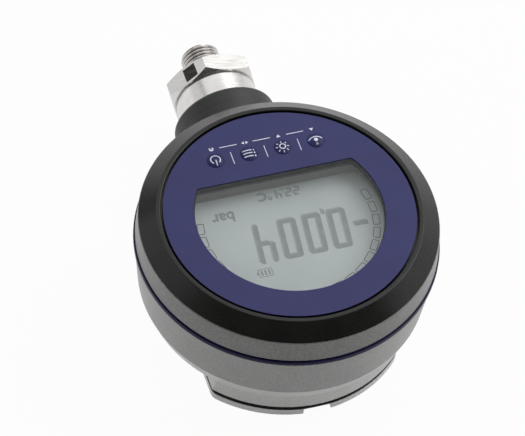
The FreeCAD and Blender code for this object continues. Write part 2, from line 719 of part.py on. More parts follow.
def battery_tray():
    """Tray with one trough for each cell, open towards the cover, on a flange inside the case."""
    bottom = COVER_THICKNESS + CELL_LIFT
    tray = box(-tray_half_length, tray_half_length, -tray_half_width, tray_half_width, bottom, tray_top)
    wide = tray_half_length + TRAY_FLANGE
    flange_half = CASE_SCREW_Y - CASE_POST_RADIUS - SCREW_CLEARANCE
    flange_top = floor_top + TRAY_FLANGE_THICKNESS
    tray = tray.common(spun([
        (0, foot_rim), (foot_radius - CASE_WALL - TRAY_CLEARANCE, foot_rim),
        (rear_edge_radius - CASE_WALL - TRAY_CLEARANCE, rear_edge_height),
        (rear_edge_radius - CASE_WALL - TRAY_CLEARANCE, tray_top), (0, tray_top),
    ]))
    tray = tray.fuse(box(-wide, wide, -flange_half, flange_half, floor_top, flange_top))
    half = trough_half_length()
    radius = CELL_RADIUS + CELL_CLEARANCE
    for _, y, _ in cell_rows():
        round_top = Part.makeCylinder(radius, 2 * half, V(-half, y, cell_axis_height), V(1, 0, 0))
        mouth = box(-half, half, y - radius, y + radius, bottom, cell_axis_height)
        tray = tray.cut(round_top.fuse(mouth))
    return tray.removeSplitter()


def along_cell(shape, direction):
    """Turn a piece made for a cell that points along +X to the cell's own direction."""
    turned_shape = shape.copy()
    if direction < 0:
        turned_shape.rotate(shape_centre(shape), AXIS_Z, 180)
    return turned_shape


def shape_centre(shape):
    """Middle of the trough that a cell's pieces belong to."""
    centre = shape.BoundBox.Center
    return V(0, centre.y, centre.z)


def battery(y, direction):
    """AA cell with its nub."""
    nub_end = trough_half_length() - CONTACT_THICKNESS - CONTACT_GAP
    shoulder = nub_end - CELL_NUB_LENGTH
    along = V(1, 0, 0)
    foot = V(shoulder - CELL_LENGTH, y, cell_axis_height)
    can = Part.makeCylinder(CELL_RADIUS, CELL_LENGTH, foot, along)
    nub = Part.makeCylinder(CELL_NUB_RADIUS, CELL_NUB_LENGTH, V(shoulder, y, cell_axis_height), along)
    return along_cell(can.fuse(nub), direction)


def plus_contact(y, direction):
    """Flat contact plate at a cell's nub."""
    end = trough_half_length()
    half = CONTACT_WIDTH / 2
    plate = box(
        end - CONTACT_THICKNESS, end, y - half, y + half, cell_axis_height - half, cell_axis_height + half)
    return along_cell(plate, direction)


def minus_contact(y, direction):
    """Bent leaf spring at a cell's flat end."""
    wall = -trough_half_length()
    cell_end = -wall - CONTACT_THICKNESS - CONTACT_GAP - CELL_NUB_LENGTH - CELL_LENGTH
    crest = cell_end - CONTACT_GAP
    half = CONTACT_WIDTH / 2
    low, high = cell_axis_height - half, cell_axis_height + half
    thick = CONTACT_THICKNESS
    outline = [
        (wall, low), (wall + thick, low), (wall + thick, high - thick), (crest - thick, cell_axis_height),
        (wall + 3 * thick, low + thick), (wall + 4 * thick, low), (crest, cell_axis_height),
        (wall + thick, high), (wall, high),
    ]
    corners = [V(x, y - half, z) for x, z in outline]
    leaf = Part.Face(Part.makePolygon(corners + corners[:1])).extrude(V(0, CONTACT_WIDTH, 0))
    return along_cell(leaf, direction)


def case_envelope():
    """Everything inside the case's outer surface, grown by the fit of the neck."""
    fit = PART_CLEARANCE
    return spun([
        (0, -fit), (cover_radius + fit, -fit), (cover_radius + fit, foot_rim), (foot_radius + fit, foot_rim),
        (rear_edge_radius + fit, rear_edge_height), (wall_foot_radius + fit, wall_foot_height),
        (wall_top_radius + fit, stripe_bottom - fit), (STRIPE_RADIUS + fit, stripe_bottom - fit),
        (STRIPE_RADIUS + fit, stripe_top), (ring_top_radius, bezel_foot), (0, bezel_foot),
    ])


def neck_sleeve():
    """Neck that is saddled on the case, with a spigot through the wall and the swivel's bore."""
    sleeve = rod(NECK_RADIUS, neck_rim, pad_face)
    sleeve = sleeve.makeFillet(NECK_ROUND, circle_edges(sleeve, NECK_RADIUS, V(0, neck_rim, PORT_HEIGHT)))
    sleeve = sleeve.cut(case_envelope())
    sleeve = sleeve.fuse(rod(sleeve_radius, -STRIPE_RADIUS, sleeve_end))
    sleeve = sleeve.cut(rod(bore_radius, neck_rim, sleeve_end))
    return sleeve.cut(stop_pin(THREAD_FIT)).removeSplitter()


def stop_pin(grow=0.0):
    """Pin in the neck's front face that stops the swivel at both ends of its turn."""
    place = V(0, neck_rim - STOP_PIN_PROUD, PORT_HEIGHT + stop_circle)
    return Part.makeCylinder(STOP_PIN_RADIUS + grow, STOP_PIN_PROUD + STOP_PIN_SEAT, place, AXIS_Y)


def stop_groove():
    """Groove in the collar's face that the stop pin runs in, broken by a lug opposite the pin."""
    half_width = STOP_PIN_RADIUS + STOP_GROOVE_GAP
    pin_angle = math.degrees(math.asin(half_width / stop_circle))
    lug_half = 180.0 - SWIVEL_HALF_RANGE - pin_angle
    depth = STOP_PIN_PROUD + STOP_GROOVE_GAP
    low = PORT_HEIGHT - stop_circle - half_width
    corner = V(0, collar_start + COLLAR_GAP - depth, low)
    face = Part.makePlane(depth, 2 * half_width, corner, V(1, 0, 0), AXIS_Y)
    centre = V(0, 0, PORT_HEIGHT)
    face.rotate(centre, AXIS_Y, lug_half)
    return face.revolve(centre, AXIS_Y, 360.0 - 2 * lug_half)


def hexagon():
    """Spanner hexagon, turned as it stands at rest and chamfered at both ends."""
    outline = hexagon_outline(HEX_ACROSS_FLATS, 90.0 - HEX_TURN)
    corners = [V(dx, hex_end, PORT_HEIGHT + dz) for dx, dz in outline]
    prism = Part.Face(Part.makePolygon(corners + corners[:1])).extrude(V(0, HEX_LENGTH, 0))
    face_radius = HEX_ACROSS_FLATS / 2
    corner_radius = face_radius / math.cos(math.pi / 6)
    drop = (corner_radius - face_radius) * math.tan(math.radians(HEX_CHAMFER))
    chamfered = turned([
        (0, hex_end), (face_radius, hex_end), (corner_radius, hex_end + drop),
        (corner_radius, hex_start - drop), (face_radius, hex_start), (0, hex_start),
    ])
    return prism.common(chamfered)


def process_connection():
    """One turned piece: shaft, collar, hexagon, thread and the pressure inlet."""
    groove = RETAINER_DEPTH
    tip_radius = THREAD_RADIUS - THREAD_TIP
    relief_radius = THREAD_RADIUS - THREAD_RELIEF_DEPTH
    body = turned([
        (0, shaft_end), (SHAFT_RADIUS, shaft_end), (SHAFT_RADIUS, retainer_end),
        (SHAFT_RADIUS - groove, retainer_end), (SHAFT_RADIUS - groove, retainer_start),
        (SHAFT_RADIUS, retainer_start), (SHAFT_RADIUS, collar_start),
        (COLLAR_RADIUS - COLLAR_CHAMFER, collar_start), (COLLAR_RADIUS, collar_start - COLLAR_CHAMFER),
        (COLLAR_RADIUS, collar_end + COLLAR_CHAMFER), (COLLAR_RADIUS - COLLAR_CHAMFER, collar_end),
        (RELIEF_RADIUS, collar_end), (RELIEF_RADIUS, hex_start),
        (relief_radius, hex_start), (relief_radius, hex_end - THREAD_RELIEF_LENGTH),
        (THREAD_RADIUS, hex_end - THREAD_RELIEF_LENGTH), (THREAD_RADIUS, thread_end + THREAD_TIP),
        (tip_radius, thread_end), (0, thread_end),
    ])
    body = body.fuse(hexagon())
    body = body.cut(rod(INLET_RADIUS, thread_end, pocket_floor))
    body = body.cut(rod(POCKET_RADIUS, pocket_floor, shaft_end))
    for place in O_RING_PLACES:
        middle = collar_start + place
        half = O_RING_GROOVE_WIDTH / 2
        body = body.cut(tube(SHAFT_RADIUS, o_ring_floor(), middle - half, middle + half))
    return body.cut(stop_groove()).removeSplitter()


def o_ring_floor():
    """Radius at the bottom of an O-ring's groove."""
    return bore_radius - 2 * O_RING_SECTION - 2 * SWIVEL_CLEARANCE


def swivel_o_rings():
    """Two O-rings in the shaft's grooves."""
    middle_radius = o_ring_floor() + SWIVEL_CLEARANCE + O_RING_SECTION
    made = []
    for place in O_RING_PLACES:
        centre = V(0, collar_start + place, PORT_HEIGHT)
        made.append(Part.makeTorus(middle_radius, O_RING_SECTION, centre, AXIS_Y))
    return Part.makeCompound(made)


def neck_nut():
    """Slotted ring nut that pulls the neck against the case."""
    outer = sleeve_radius + NUT_WALL
    nut = tube(outer, sleeve_radius + THREAD_FIT, pad_face, nut_end)
    half = NUT_WALL / 2
    slot = box(-half, half, nut_end - half, nut_end, PORT_HEIGHT - outer, PORT_HEIGHT + outer)
    for turn in (45, 135):
        cutter = slot.copy()
        cutter.rotate(V(0, 0, PORT_HEIGHT), AXIS_Y, turn)
        nut = nut.cut(cutter)
    return nut


def retaining_ring():
    """Open ring in the shaft's groove."""
    inner = SHAFT_RADIUS - RETAINER_DEPTH + SWIVEL_CLEARANCE
    fit = SWIVEL_CLEARANCE
    ring = tube(inner + RETAINER_WIDTH, inner, retainer_start + fit, retainer_end - fit)
    half = RETAINER_WIDTH / 2
    return ring.cut(box(-half, half, retainer_start, retainer_end, PORT_HEIGHT, PORT_HEIGHT + STRIPE_RADIUS))


def sensor_cell():
    """Sensor capsule on the floor of the shaft's pocket."""
    end = pocket_floor + SENSOR_LENGTH
    return turned([
        (0, pocket_floor), (POCKET_RADIUS - THREAD_FIT, pocket_floor), (POCKET_RADIUS - THREAD_FIT, end),
        (SENSOR_CAP_RADIUS, end), (SENSOR_CAP_RADIUS, end + SENSOR_CAP_LENGTH), (0, end + SENSOR_CAP_LENGTH),
    ])


def sensor_socket_place():
    """Place of the sensor's socket on the board."""
    return (0.0, shaft_end + SENSOR_LEAD_STANDOFF)


def sensor_lead():
    """Lead from the swivel's axis, where it only twists, up to the board."""
    x, y = sensor_socket_place()
    start = pocket_floor + SENSOR_LENGTH + SENSOR_CAP_LENGTH + SENSOR_LEAD_GAP
    return lead([V(x, start, PORT_HEIGHT), V(x, y, PORT_HEIGHT), V(x, y, board_bottom - SOCKET_SIZE[2])])


def battery_socket_place():
    """Place of the battery's socket on the board."""
    x, y = BATTERY_LEAD_PLACE
    return (x - BATTERY_LEAD_SHIFT, y)


def battery_lead():
    """Lead from the tray's roof up to the board."""
    x, y = BATTERY_LEAD_PLACE
    end = battery_socket_place()[0]
    bottom, top = tray_top, board_bottom - SOCKET_SIZE[2]
    middle = (bottom + top) / 2
    return lead([V(x, y, bottom), V(x, y, middle), V(end, y, middle), V(end, y, top)])


def main():
    """Make every node."""
    os.makedirs("parts", exist_ok=True)
    save("rear_case", rear_case())
    save("battery_cover", battery_cover())
    save("cover_screws", cover_screws())
    save("cover_seal", cover_seal())
    save("stripe_seal", stripe_seal())
    save("front_case", front_case())
    save("case_screws", case_screws())
    save("front_bezel", front_bezel())
    save("front_panel", front_panel())
    save("keypad_foil", keypad_foil())
    save("window_pane", window_pane())
    save("lcd_glass", display_plate(lcd_bottom, lcd_top))
    save("backlight", display_plate(board_top, lcd_bottom))
    save("lcd_frame", lcd_frame())
    save("main_board", main_board())
    save("board_screws", board_screws())
    save("controller_chip", under_board(CHIP_PLACE, CHIP_SIZE))
    save("sensor_socket", under_board(sensor_socket_place(), SOCKET_SIZE))
    save("battery_socket", under_board(battery_socket_place(), SOCKET_SIZE))
    for name, x, y in key_places():
        save(name + "_key", key(x, y))
        save(name + "_switch", key_switch(x, y))
    save("battery_tray", battery_tray())
    for number, y, direction in cell_rows():
        save("battery_%d" % number, battery(y, direction))
        save("plus_contact_%d" % number, plus_contact(y, direction))
        save("minus_contact_%d" % number, minus_contact(y, direction))
    save("neck_sleeve", neck_sleeve())
    save("neck_nut", neck_nut())
    save("stop_pin", stop_pin())
    save("thrust_washer", tube(SHAFT_RADIUS + WASHER_WIDTH, bore_radius, sleeve_end, washer_end))
    save("process_connection", process_connection())
    save("swivel_o_rings", swivel_o_rings())
    save("retaining_ring", retaining_ring())
    save("sensor_cell", sensor_cell())
    save("sensor_lead", sensor_lead())
    save("battery_lead", battery_lead())


main()
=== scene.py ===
import json
import math

import bmesh
import bpy
from mathutils import Matrix, Vector

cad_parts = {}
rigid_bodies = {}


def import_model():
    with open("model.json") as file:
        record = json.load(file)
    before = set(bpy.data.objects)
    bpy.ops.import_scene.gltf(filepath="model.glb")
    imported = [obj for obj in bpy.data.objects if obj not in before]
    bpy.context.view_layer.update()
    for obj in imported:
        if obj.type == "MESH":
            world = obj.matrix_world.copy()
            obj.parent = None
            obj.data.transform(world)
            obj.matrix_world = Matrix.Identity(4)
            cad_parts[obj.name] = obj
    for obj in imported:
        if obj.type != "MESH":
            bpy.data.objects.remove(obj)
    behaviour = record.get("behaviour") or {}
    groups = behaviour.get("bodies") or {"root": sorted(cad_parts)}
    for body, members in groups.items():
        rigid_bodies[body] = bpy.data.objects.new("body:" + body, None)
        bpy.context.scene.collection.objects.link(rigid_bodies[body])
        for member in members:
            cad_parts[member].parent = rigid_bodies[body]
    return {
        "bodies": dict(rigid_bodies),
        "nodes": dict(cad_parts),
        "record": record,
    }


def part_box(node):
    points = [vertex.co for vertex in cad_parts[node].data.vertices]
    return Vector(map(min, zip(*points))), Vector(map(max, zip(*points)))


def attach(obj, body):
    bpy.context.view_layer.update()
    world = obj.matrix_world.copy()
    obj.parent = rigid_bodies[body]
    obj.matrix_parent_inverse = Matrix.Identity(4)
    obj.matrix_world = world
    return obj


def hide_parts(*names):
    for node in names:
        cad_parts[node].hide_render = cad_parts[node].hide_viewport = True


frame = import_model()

# Only the gauge stays in the scene
gauge_objects = set(frame["nodes"].values()) | set(frame["bodies"].values())
for leftover in list(bpy.data.objects):
    if leftover not in gauge_objects:
        bpy.data.objects.remove(leftover)
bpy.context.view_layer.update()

MM = 0.001
MERGE_DISTANCE = 1e-7

# Camera, fitted to the rims of the foil, the bezel and the case
CAMERA_EYE = (0.40905, 0.92402, 1.36938)
CAMERA_RIGHT = (-0.95047, 0.30107, 0.07718)
CAMERA_UP = (-0.19615, -0.77368, 0.60245)
CAMERA_LENS = 352.4
SENSOR_WIDTH = 36.0
NEAREST = 0.01
FARTHEST = 50.0

# Levels and places read from the gauge itself
FOIL_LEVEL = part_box("keypad_foil")[1].z
DISPLAY_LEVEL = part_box("lcd_glass")[1].z
THREAD_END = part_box("process_connection")[0].y
PORT_HEIGHT = (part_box("process_connection")[0].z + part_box("process_connection")[1].z) / 2
KEYS = ("zero_key", "light_key", "menu_key", "power_key")

# Pipe thread on the connection; crest and root are shares of the pitch
THREAD_RADIUS = 6.578 * MM
THREAD_PITCH = 1.337 * MM
THREAD_DEPTH = 0.82 * MM
THREAD_CREST = 0.09
THREAD_ROOT = 0.43
# Painted shade for the thread's roots
THREAD_ROOT_SHADE = (0.09, 0.072, 0.064)
THREAD_LENGTH = 10.2 * MM
THREAD_CHAMFER = 1.0 * MM
THREAD_STEPS_ALONG = 184
THREAD_STEPS_AROUND = 97
RELIEF_RADIUS = 5.578 * MM
THREAD_MARGIN = 0.05 * MM
CREST_LAND = 0.1 * MM
SHARP_ANGLE = 20.0

# Hexagon of the connection, for the etched square on one flat
HEX_ACROSS_FLATS = 28.0 * MM
HEX_MIDDLE = -78.4 * MM
HEX_FLAT_ANGLE = 44.0
ETCHED_SIDE = 5.0 * MM
ETCHED_SHIFT = -1.9 * MM
ETCHED_HEIGHT = 0.01 * MM
ETCHED_STEPS = 6

# Dark and light tones of the silver lacquer, lighter tones for the foot and the cover as painted light from
# the white table, and the height where the wall begins
FOOT_EDGE = 19.0 * MM
WALL_TONES = ((0.19, 0.189, 0.185), (0.3, 0.298, 0.292))
FOOT_PAINTED_LIGHT_TONES = ((0.42, 0.418, 0.41), (0.57, 0.567, 0.558))
COVER_PAINTED_LIGHT_TONES = ((0.66, 0.657, 0.648), (0.82, 0.816, 0.805))

# Range that a noise mostly stays in, and the length that a cell's colours are measured by
NOISE_LOW = 0.3
NOISE_HIGH = 0.7
CELL_REACH = 30.0 * MM

# Print on the foil
PRINT_HEIGHT = 0.02 * MM
KEY_PITCH = 11.45 * MM
SEPARATOR_LENGTH = 4.8 * MM
SEPARATOR_WIDTH = 0.24 * MM
SEPARATOR_ROW = -26.0 * MM
DASH_LENGTH = 5.9 * MM
DASH_WIDTH = 0.27 * MM
SIGN_ROW = -31.0 * MM

# Signs on the keys, drawn in millimetres from the key's middle
SIGN_LINE = 0.36
POWER_RING = 1.6
POWER_DROP = -0.15
POWER_HALF_GAP = 36.0
POWER_LINE_START = 0.15
POWER_LINE_STEP = 0.34
POWER_LINE_POINTS = 7
LIST_ROWS = (1.2, 0.0, -1.2)
LIST_START = -1.1
LIST_STEP = 0.44
LIST_POINTS = 8
LIST_DOT_PLACE = -1.85
LIST_DOT_RADIUS = 0.28
LIST_DOT_STEPS = 10
LAMP_RING = 0.95
LAMP_LINE = 0.34
RAY_COUNT = 8
RAY_RADIUS = 1.95 * MM
RAY_LENGTH = 0.7 * MM
RAY_WIDTH = 0.3 * MM
BOW_MIDDLE = (0.0, 2.2)
BOW_RADIUS = 3.45
BOW_HALF_ANGLE = 43.0
ZERO_SPOT_PLACE = (0.0, 0.05)
ZERO_SPOT_RADIUS = 0.68
ZERO_SPOT_STEPS = 16
ZERO_TIP = ((-0.45, 1.85), (0.0, 1.1), (0.45, 1.85))

# Small signs near the foil's edge, drawn in millimetres from each sign's middle
LOCK_RADIUS = 0.5
LOCK_BOW_LINE = 0.55
LOCK_LEG_LINE = 0.5
LOCK_LEG_TOP = 0.15
LOCK_LEG_FOOT = -0.55
LOCK_BOW_ENDS = (20.0, 160.0)
LOCK_BOW_STEPS = 12
ARROW_LEFT = ((-0.25, 0.6), (-1.15, 0.0), (-0.25, -0.6))
ARROW_RIGHT = ((0.25, -0.6), (1.15, 0.0), (0.25, 0.6))
ARROW_UP = ((-0.75, -0.5), (0.75, -0.5), (0.0, 0.6))
ARROW_DOWN = ((-0.75, 0.5), (0.0, -0.6), (0.75, 0.5))

# Painted shadow along the display's straight edge, where the window's wall would shade it
EDGE_SHADOW_TONE = 0.76
EDGE_SHADOW_START = -17.5 * MM
EDGE_SHADOW_END = -9.0 * MM

# Large reading on the display, in millimetres
SEGMENT_HEIGHT = 0.012 * MM
SHADE_HEIGHT = 0.006 * MM
READING = "0004"
DIGIT_WIDTH = 6.1
DIGIT_HEIGHT = 15.7
DIGIT_STROKE = 1.6
DIGIT_PITCH = 8.4
DIGIT_SLANT = 0.11
DIGIT_MIDDLE = (-3.3, 5.2)
DIGIT_CORNER = 0.45
SEGMENT_GAP = 0.04
SHADE_SHIFT = (0.5, -0.6)
POINT_START = (-0.1, -0.9)
POINT_END = (0.15, 1.1)
POINT_LINE = 0.8
MINUS_GAP = 2.2
MINUS_LENGTH = 4.6
MINUS_DROP = 0.4

# Small reading, units and battery sign, in millimetres
SMALL_READING = "224"
SMALL_WIDTH = 2.1
SMALL_HEIGHT = 3.4
SMALL_STROKE = 0.5
SMALL_PITCH = 2.75
SMALL_FIRST = (-6.9, -12.95)
SMALL_POINT = (-2.35, -14.4)
SMALL_POINT_RADIUS = 0.32
SMALL_POINT_ROOM = 0.6
SMALL_SHADE_SHIFT = (0.3, -0.4)
LETTER_WEIGHT = 0.07
LETTER_STEPS = 3
DEGREES_CORNER = (1.2, -14.6)
DEGREES_HEIGHT = 4.6
UNIT_CORNER = (15.4, -9.8)
UNIT_HEIGHT = 5.8
BATTERY_LEFT = 10.7
BATTERY_RIGHT = 15.2
BATTERY_LOW = 14.8
BATTERY_HIGH = 17.8
BATTERY_LINE = 0.3
CHARGE_COUNT = 3
CHARGE_FIRST = 0.95
CHARGE_PITCH = 1.25
CHARGE_MARGIN = 0.55
CHARGE_LINE = 0.7
BATTERY_TIP_SHIFT = 0.35
BATTERY_TIP_MARGIN = 0.9
BATTERY_TIP_LINE = 0.55

# Bar graph round the display
BAR_COUNT = 20
BAR_MIDDLE = (-0.25 * MM, -0.65 * MM)
BAR_INNER = 27.67 * MM
BAR_OUTER = 29.86 * MM
BAR_FIRST_ANGLE = 195.8
BAR_LAST_ANGLE = -14.8
BAR_GAP = 1.15 * MM
BAR_CORNER = 0.45 * MM
BAR_CORNER_STEPS = 4
BAR_LINE = 0.26 * MM

# Room with white walls low down, a grey one in front and a dim ceiling
FRONT_START = 0.3
FRONT_FULL = 0.9
GREY_FRONT = 0.25
WALL_TOP = 0.04
CEILING_START = 0.14
DIM_CEILING = 0.1

# White table top
TABLE_HALF = 3.0
TABLE_LEVEL = -0.2 * MM
TABLE_TONE = 0.76
TABLE_GLOW = 0.96

# Soft lamps: name, place and size in metres, watts
LAMP_AIM = (0.0, 0.0, 0.03)
LAMPS = (
    ("key_lamp", (-0.8, -0.2, 0.9), (1.0, 0.7), 7.0),
    ("back_lamp", (0.0, -0.9, 0.8), (1.3, 1.1), 4.6),
    ("left_lamp", (0.95, -0.3, 0.42), (1.4, 0.7), 2.2),
    ("right_lamp", (-1.0, 0.05, 0.45), (1.0, 0.7), 1.6),
    ("edge_lamp", (-0.82, -0.85, 0.6), (0.8, 0.9), 1.8),
    ("top_lamp", (0.0, -0.1, 1.2), (1.0, 0.7), 1.3),
)


# Node helpers
def feed(tree, target, inputs):
    """Give each listed socket of a node its value or the socket that feeds it."""
    for socket, value in inputs.items():
        if isinstance(value, bpy.types.NodeSocket):
            tree.links.new(value, target.inputs[socket])
        else:
            target.inputs[socket].default_value = value


def node(tree, kind, inputs=None, **settings):
    """Add a node with its settings and inputs."""
    made = tree.nodes.new(kind)
    for name, value in settings.items():
        setattr(made, name, value)
    feed(tree, made, inputs or {})
    return made


def maths(tree, operation, *values):
    """Result of one sum on sockets and numbers."""
    return node(tree, "ShaderNodeMath", dict(enumerate(values)), operation=operation).outputs[0]


def blank_material(name):
    """Material with its shader and the place on the piece."""
    material = bpy.data.materials.new(name)
    material.use_nodes = True
    tree = material.node_tree
    tree.nodes.clear()
    shader = node(tree, "ShaderNodeBsdfPrincipled")
    node(tree, "ShaderNodeOutputMaterial", {"Surface": shader.outputs["BSDF"]})
    place = node(tree, "ShaderNodeTexCoord").outputs["Object"]
    return material, tree, shader, place


def grain(tree, place, size, detail=2.0, stretch=(1.0, 1.0, 1.0)):
    """Noise whose spots measure about one size, in metres."""
    mapped = node(tree, "ShaderNodeMapping", {"Vector": place, "Scale": stretch}).outputs["Vector"]
    noise = node(tree, "ShaderNodeTexNoise", {"Vector": mapped, "Scale": 1.0 / size, "Detail": detail})
    return noise.outputs["Fac"]


def ramp(tree, factor, stops):
    """Colour band between (place, colour) stops."""
    made = node(tree, "ShaderNodeValToRGB", {"Fac": factor})
    band = made.color_ramp.elements
    while len(band) < len(stops):
        band.new(0.5)
    for element, (at, colour) in zip(band, stops):
        element.position = at
        element.color = (*colour, 1.0)
    return made.outputs["Color"]


def tones(tree, factor, dark, light, reach=0.15):
    """Colour from dark to light as a noise goes through its middle, this far to each side."""
    return ramp(tree, factor, [(0.5 - reach, dark), (0.5 + reach, light)])


def blend(tree, first, second, share):
    """Two noises added up, the first by its share and the second by the rest."""
    return maths(tree, "MULTIPLY_ADD", first, share, maths(tree, "MULTIPLY", second, 1.0 - share))


def spread(tree, factor, low, high):
    """Number from low to high as a noise goes through its middle range."""
    return node(tree, "ShaderNodeMapRange", {
        "Value": factor, "From Min": NOISE_LOW, "From Max": NOISE_HIGH,
        "To Min": low, "To Max": high}).outputs["Result"]


def bump(tree, factor, depth):
    """Relief from a noise, its depth in metres."""
    return node(tree, "ShaderNodeBump", {
        "Height": factor, "Distance": depth, "Strength": 1.0}).outputs["Normal"]


def moulded(name, dark, light, rough, grain_size=0.35 * MM, depth=0.02 * MM, cloud_size=9 * MM,
            specular=0.5):
    """Moulded surface: slow clouds of colour, a fine grain in roughness and relief."""
    material, tree, shader, place = blank_material(name)
    cloud = grain(tree, place, cloud_size)
    fine = grain(tree, place, grain_size)
    feed(tree, shader, {
        "Base Color": tones(tree, blend(tree, cloud, fine, 0.5), dark, light, 0.14),
        "Roughness": spread(tree, fine, *rough),
        "Normal": bump(tree, fine, depth),
        "Specular IOR Level": specular,
    })
    return material


# Finishes
def silver_casting(name, metal, gloss, painted_light_tones):
    """Silver lacquer over a fine blasted casting, in other tones below the wall's edge: painted light from
    the table there.
    """
    material, tree, shader, place = blank_material(name)
    cloud = grain(tree, place, 7 * MM, detail=3.0)
    fine = grain(tree, place, 0.55 * MM, detail=3.0)
    both = blend(tree, fine, cloud, 0.8)
    wall = tones(tree, both, *WALL_TONES, 0.13)
    # Below the wall's edge the lacquer takes the given lighter tones: painted light thrown up from the
    # table
    foot = tones(tree, both, *painted_light_tones, 0.13)
    height = node(tree, "ShaderNodeSeparateXYZ", {"Vector": place}).outputs["Z"]
    on_wall = maths(tree, "GREATER_THAN", height, FOOT_EDGE)
    shade = node(tree, "ShaderNodeMix", {"Factor": on_wall, "A": foot, "B": wall}, data_type="RGBA")
    feed(tree, shader, {
        "Base Color": shade.outputs["Result"],
        "Roughness": spread(tree, fine, 0.3, 0.42),
        "Normal": bump(tree, fine, 0.036 * MM),
        "Metallic": metal,
        "Specular IOR Level": gloss,
    })
    return material


def neck_plastic():
    """Dark matt plastic with faint turned rings along the neck."""
    material, tree, shader, place = blank_material("neck_plastic")
    rings = grain(tree, place, 1.6 * MM, stretch=(0.05, 1.0, 0.05))
    fine = grain(tree, place, 0.4 * MM)
    both = blend(tree, rings, fine, 0.6)
    feed(tree, shader, {
        "Base Color": tones(tree, both, (0.011, 0.0115, 0.0125), (0.022, 0.0225, 0.025)),
        "Roughness": spread(tree, fine, 0.42, 0.56),
        "Normal": bump(tree, both, 0.03 * MM),
    })
    return material


def clear_pane():
    """Clear pane with a light haze."""
    material, tree, shader, place = blank_material("clear_pane")
    haze = grain(tree, place, 12 * MM)
    feed(tree, shader, {
        "Base Color": tones(tree, haze, (0.82, 0.86, 0.86), (0.92, 0.95, 0.95), 0.2),
        "Roughness": spread(tree, haze, 0.04, 0.08),
        "Alpha": 0.06,
    })
    return material


def display_ground():
    """Grey-green reflector of the display, with a painted shadow along its straight edge."""
    material, tree, shader, place = blank_material("display_ground")
    cloud = grain(tree, place, 18 * MM)
    fine = grain(tree, place, 0.3 * MM)
    both = blend(tree, cloud, fine, 0.8)
    shade = tones(tree, both, (0.45, 0.511, 0.502), (0.512, 0.58, 0.571), 0.2)
    # Painted shadow: the colour darkens towards the straight edge, where the window's wall would shade it
    across = node(tree, "ShaderNodeSeparateXYZ", {"Vector": place}).outputs["Y"]
    edge_shadow = node(tree, "ShaderNodeMapRange", {
        "Value": across, "From Min": EDGE_SHADOW_START, "From Max": EDGE_SHADOW_END,
        "To Min": EDGE_SHADOW_TONE, "To Max": 1.0})
    shadowed = node(tree, "ShaderNodeVectorMath", {
        0: shade, "Scale": edge_shadow.outputs["Result"]}, operation="SCALE")
    feed(tree, shader, {
        "Base Color": shadowed.outputs[0],
        "Roughness": spread(tree, fine, 0.5, 0.62),
        "Specular IOR Level": 0.3,
    })
    return material


def navy_stripe():
    """Navy sealing ring with a low sheen."""
    material, tree, shader, place = blank_material("navy_stripe")
    cloud = grain(tree, place, 3 * MM)
    feed(tree, shader, {
        "Base Color": tones(tree, cloud, (0.005, 0.005, 0.034), (0.009, 0.009, 0.058), 0.2),
        "Roughness": spread(tree, cloud, 0.3, 0.42),
        "Normal": bump(tree, grain(tree, place, 0.8 * MM), 0.01 * MM),
        "Specular IOR Level": 0.1,
    })
    return material


def turned_steel():
    """Bright steel with fine turning marks round the connection's axis, and painted shade in the thread's
    roots.
    """
    material, tree, shader, place = blank_material("turned_steel")
    marks = grain(tree, place, 0.22 * MM, detail=3.0, stretch=(0.03, 1.0, 0.03))
    cloud = grain(tree, place, 5 * MM)
    bright = tones(tree, blend(tree, marks, cloud, 0.6), (0.62, 0.605, 0.59), (0.74, 0.727, 0.712))
    from_axis = node(tree, "ShaderNodeVectorMath", {0: place, 1: (0.0, 0.0, PORT_HEIGHT)},
                     operation="SUBTRACT").outputs[0]
    across = node(tree, "ShaderNodeVectorMath", {0: from_axis, 1: (1.0, 0.0, 1.0)},
                  operation="MULTIPLY").outputs[0]
    radius = node(tree, "ShaderNodeVectorMath", {0: across}, operation="LENGTH").outputs["Value"]
    # Painted shade: dark towards the roots, but not near either end of the thread or past it
    crest = node(tree, "ShaderNodeMapRange", {
        "Value": radius, "From Min": THREAD_RADIUS - THREAD_DEPTH, "From Max": THREAD_RADIUS - CREST_LAND})
    along = node(tree, "ShaderNodeSeparateXYZ", {"Vector": place}).outputs["Y"]
    from_middle = maths(tree, "SUBTRACT", along, THREAD_END + THREAD_LENGTH / 2)
    off_thread = maths(tree, "GREATER_THAN", maths(tree, "ABSOLUTE", from_middle),
                       THREAD_LENGTH / 2 - THREAD_CHAMFER)
    unshaded = maths(tree, "MAXIMUM", crest.outputs["Result"], off_thread)
    shade = node(tree, "ShaderNodeMix", {
        "Factor": unshaded, "A": (*THREAD_ROOT_SHADE, 1.0), "B": bright}, data_type="RGBA")
    feed(tree, shader, {
        "Base Color": shade.outputs["Result"],
        "Roughness": spread(tree, marks, 0.2, 0.32),
        "Normal": bump(tree, marks, 0.002 * MM),
        "Metallic": 1.0,
    })
    return material


def plated(name, dark, light, rough):
    """Plated small metal with a faint mottle."""
    material, tree, shader, place = blank_material(name)
    mottle = grain(tree, place, 0.7 * MM, detail=3.0)
    feed(tree, shader, {
        "Base Color": tones(tree, mottle, dark, light),
        "Roughness": spread(tree, mottle, *rough),
        "Normal": bump(tree, mottle, 0.01 * MM),
        "Metallic": 1.0,
    })
    return material


def solder_resist():
    """Green board with slightly raised tracks."""
    material, tree, shader, place = blank_material("solder_resist")
    cells = node(tree, "ShaderNodeTexVoronoi", {"Vector": place, "Scale": 1.0 / (3.2 * MM)},
                 feature="DISTANCE_TO_EDGE")
    tracks = cells.outputs["Distance"]
    feed(tree, shader, {
        "Base Color": ramp(tree, tracks, [(0.06, (0.05, 0.2, 0.09)), (0.12, (0.015, 0.1, 0.045))]),
        "Roughness": spread(tree, tracks, 0.28, 0.42),
        "Normal": bump(tree, tracks, 0.03 * MM),
    })
    return material


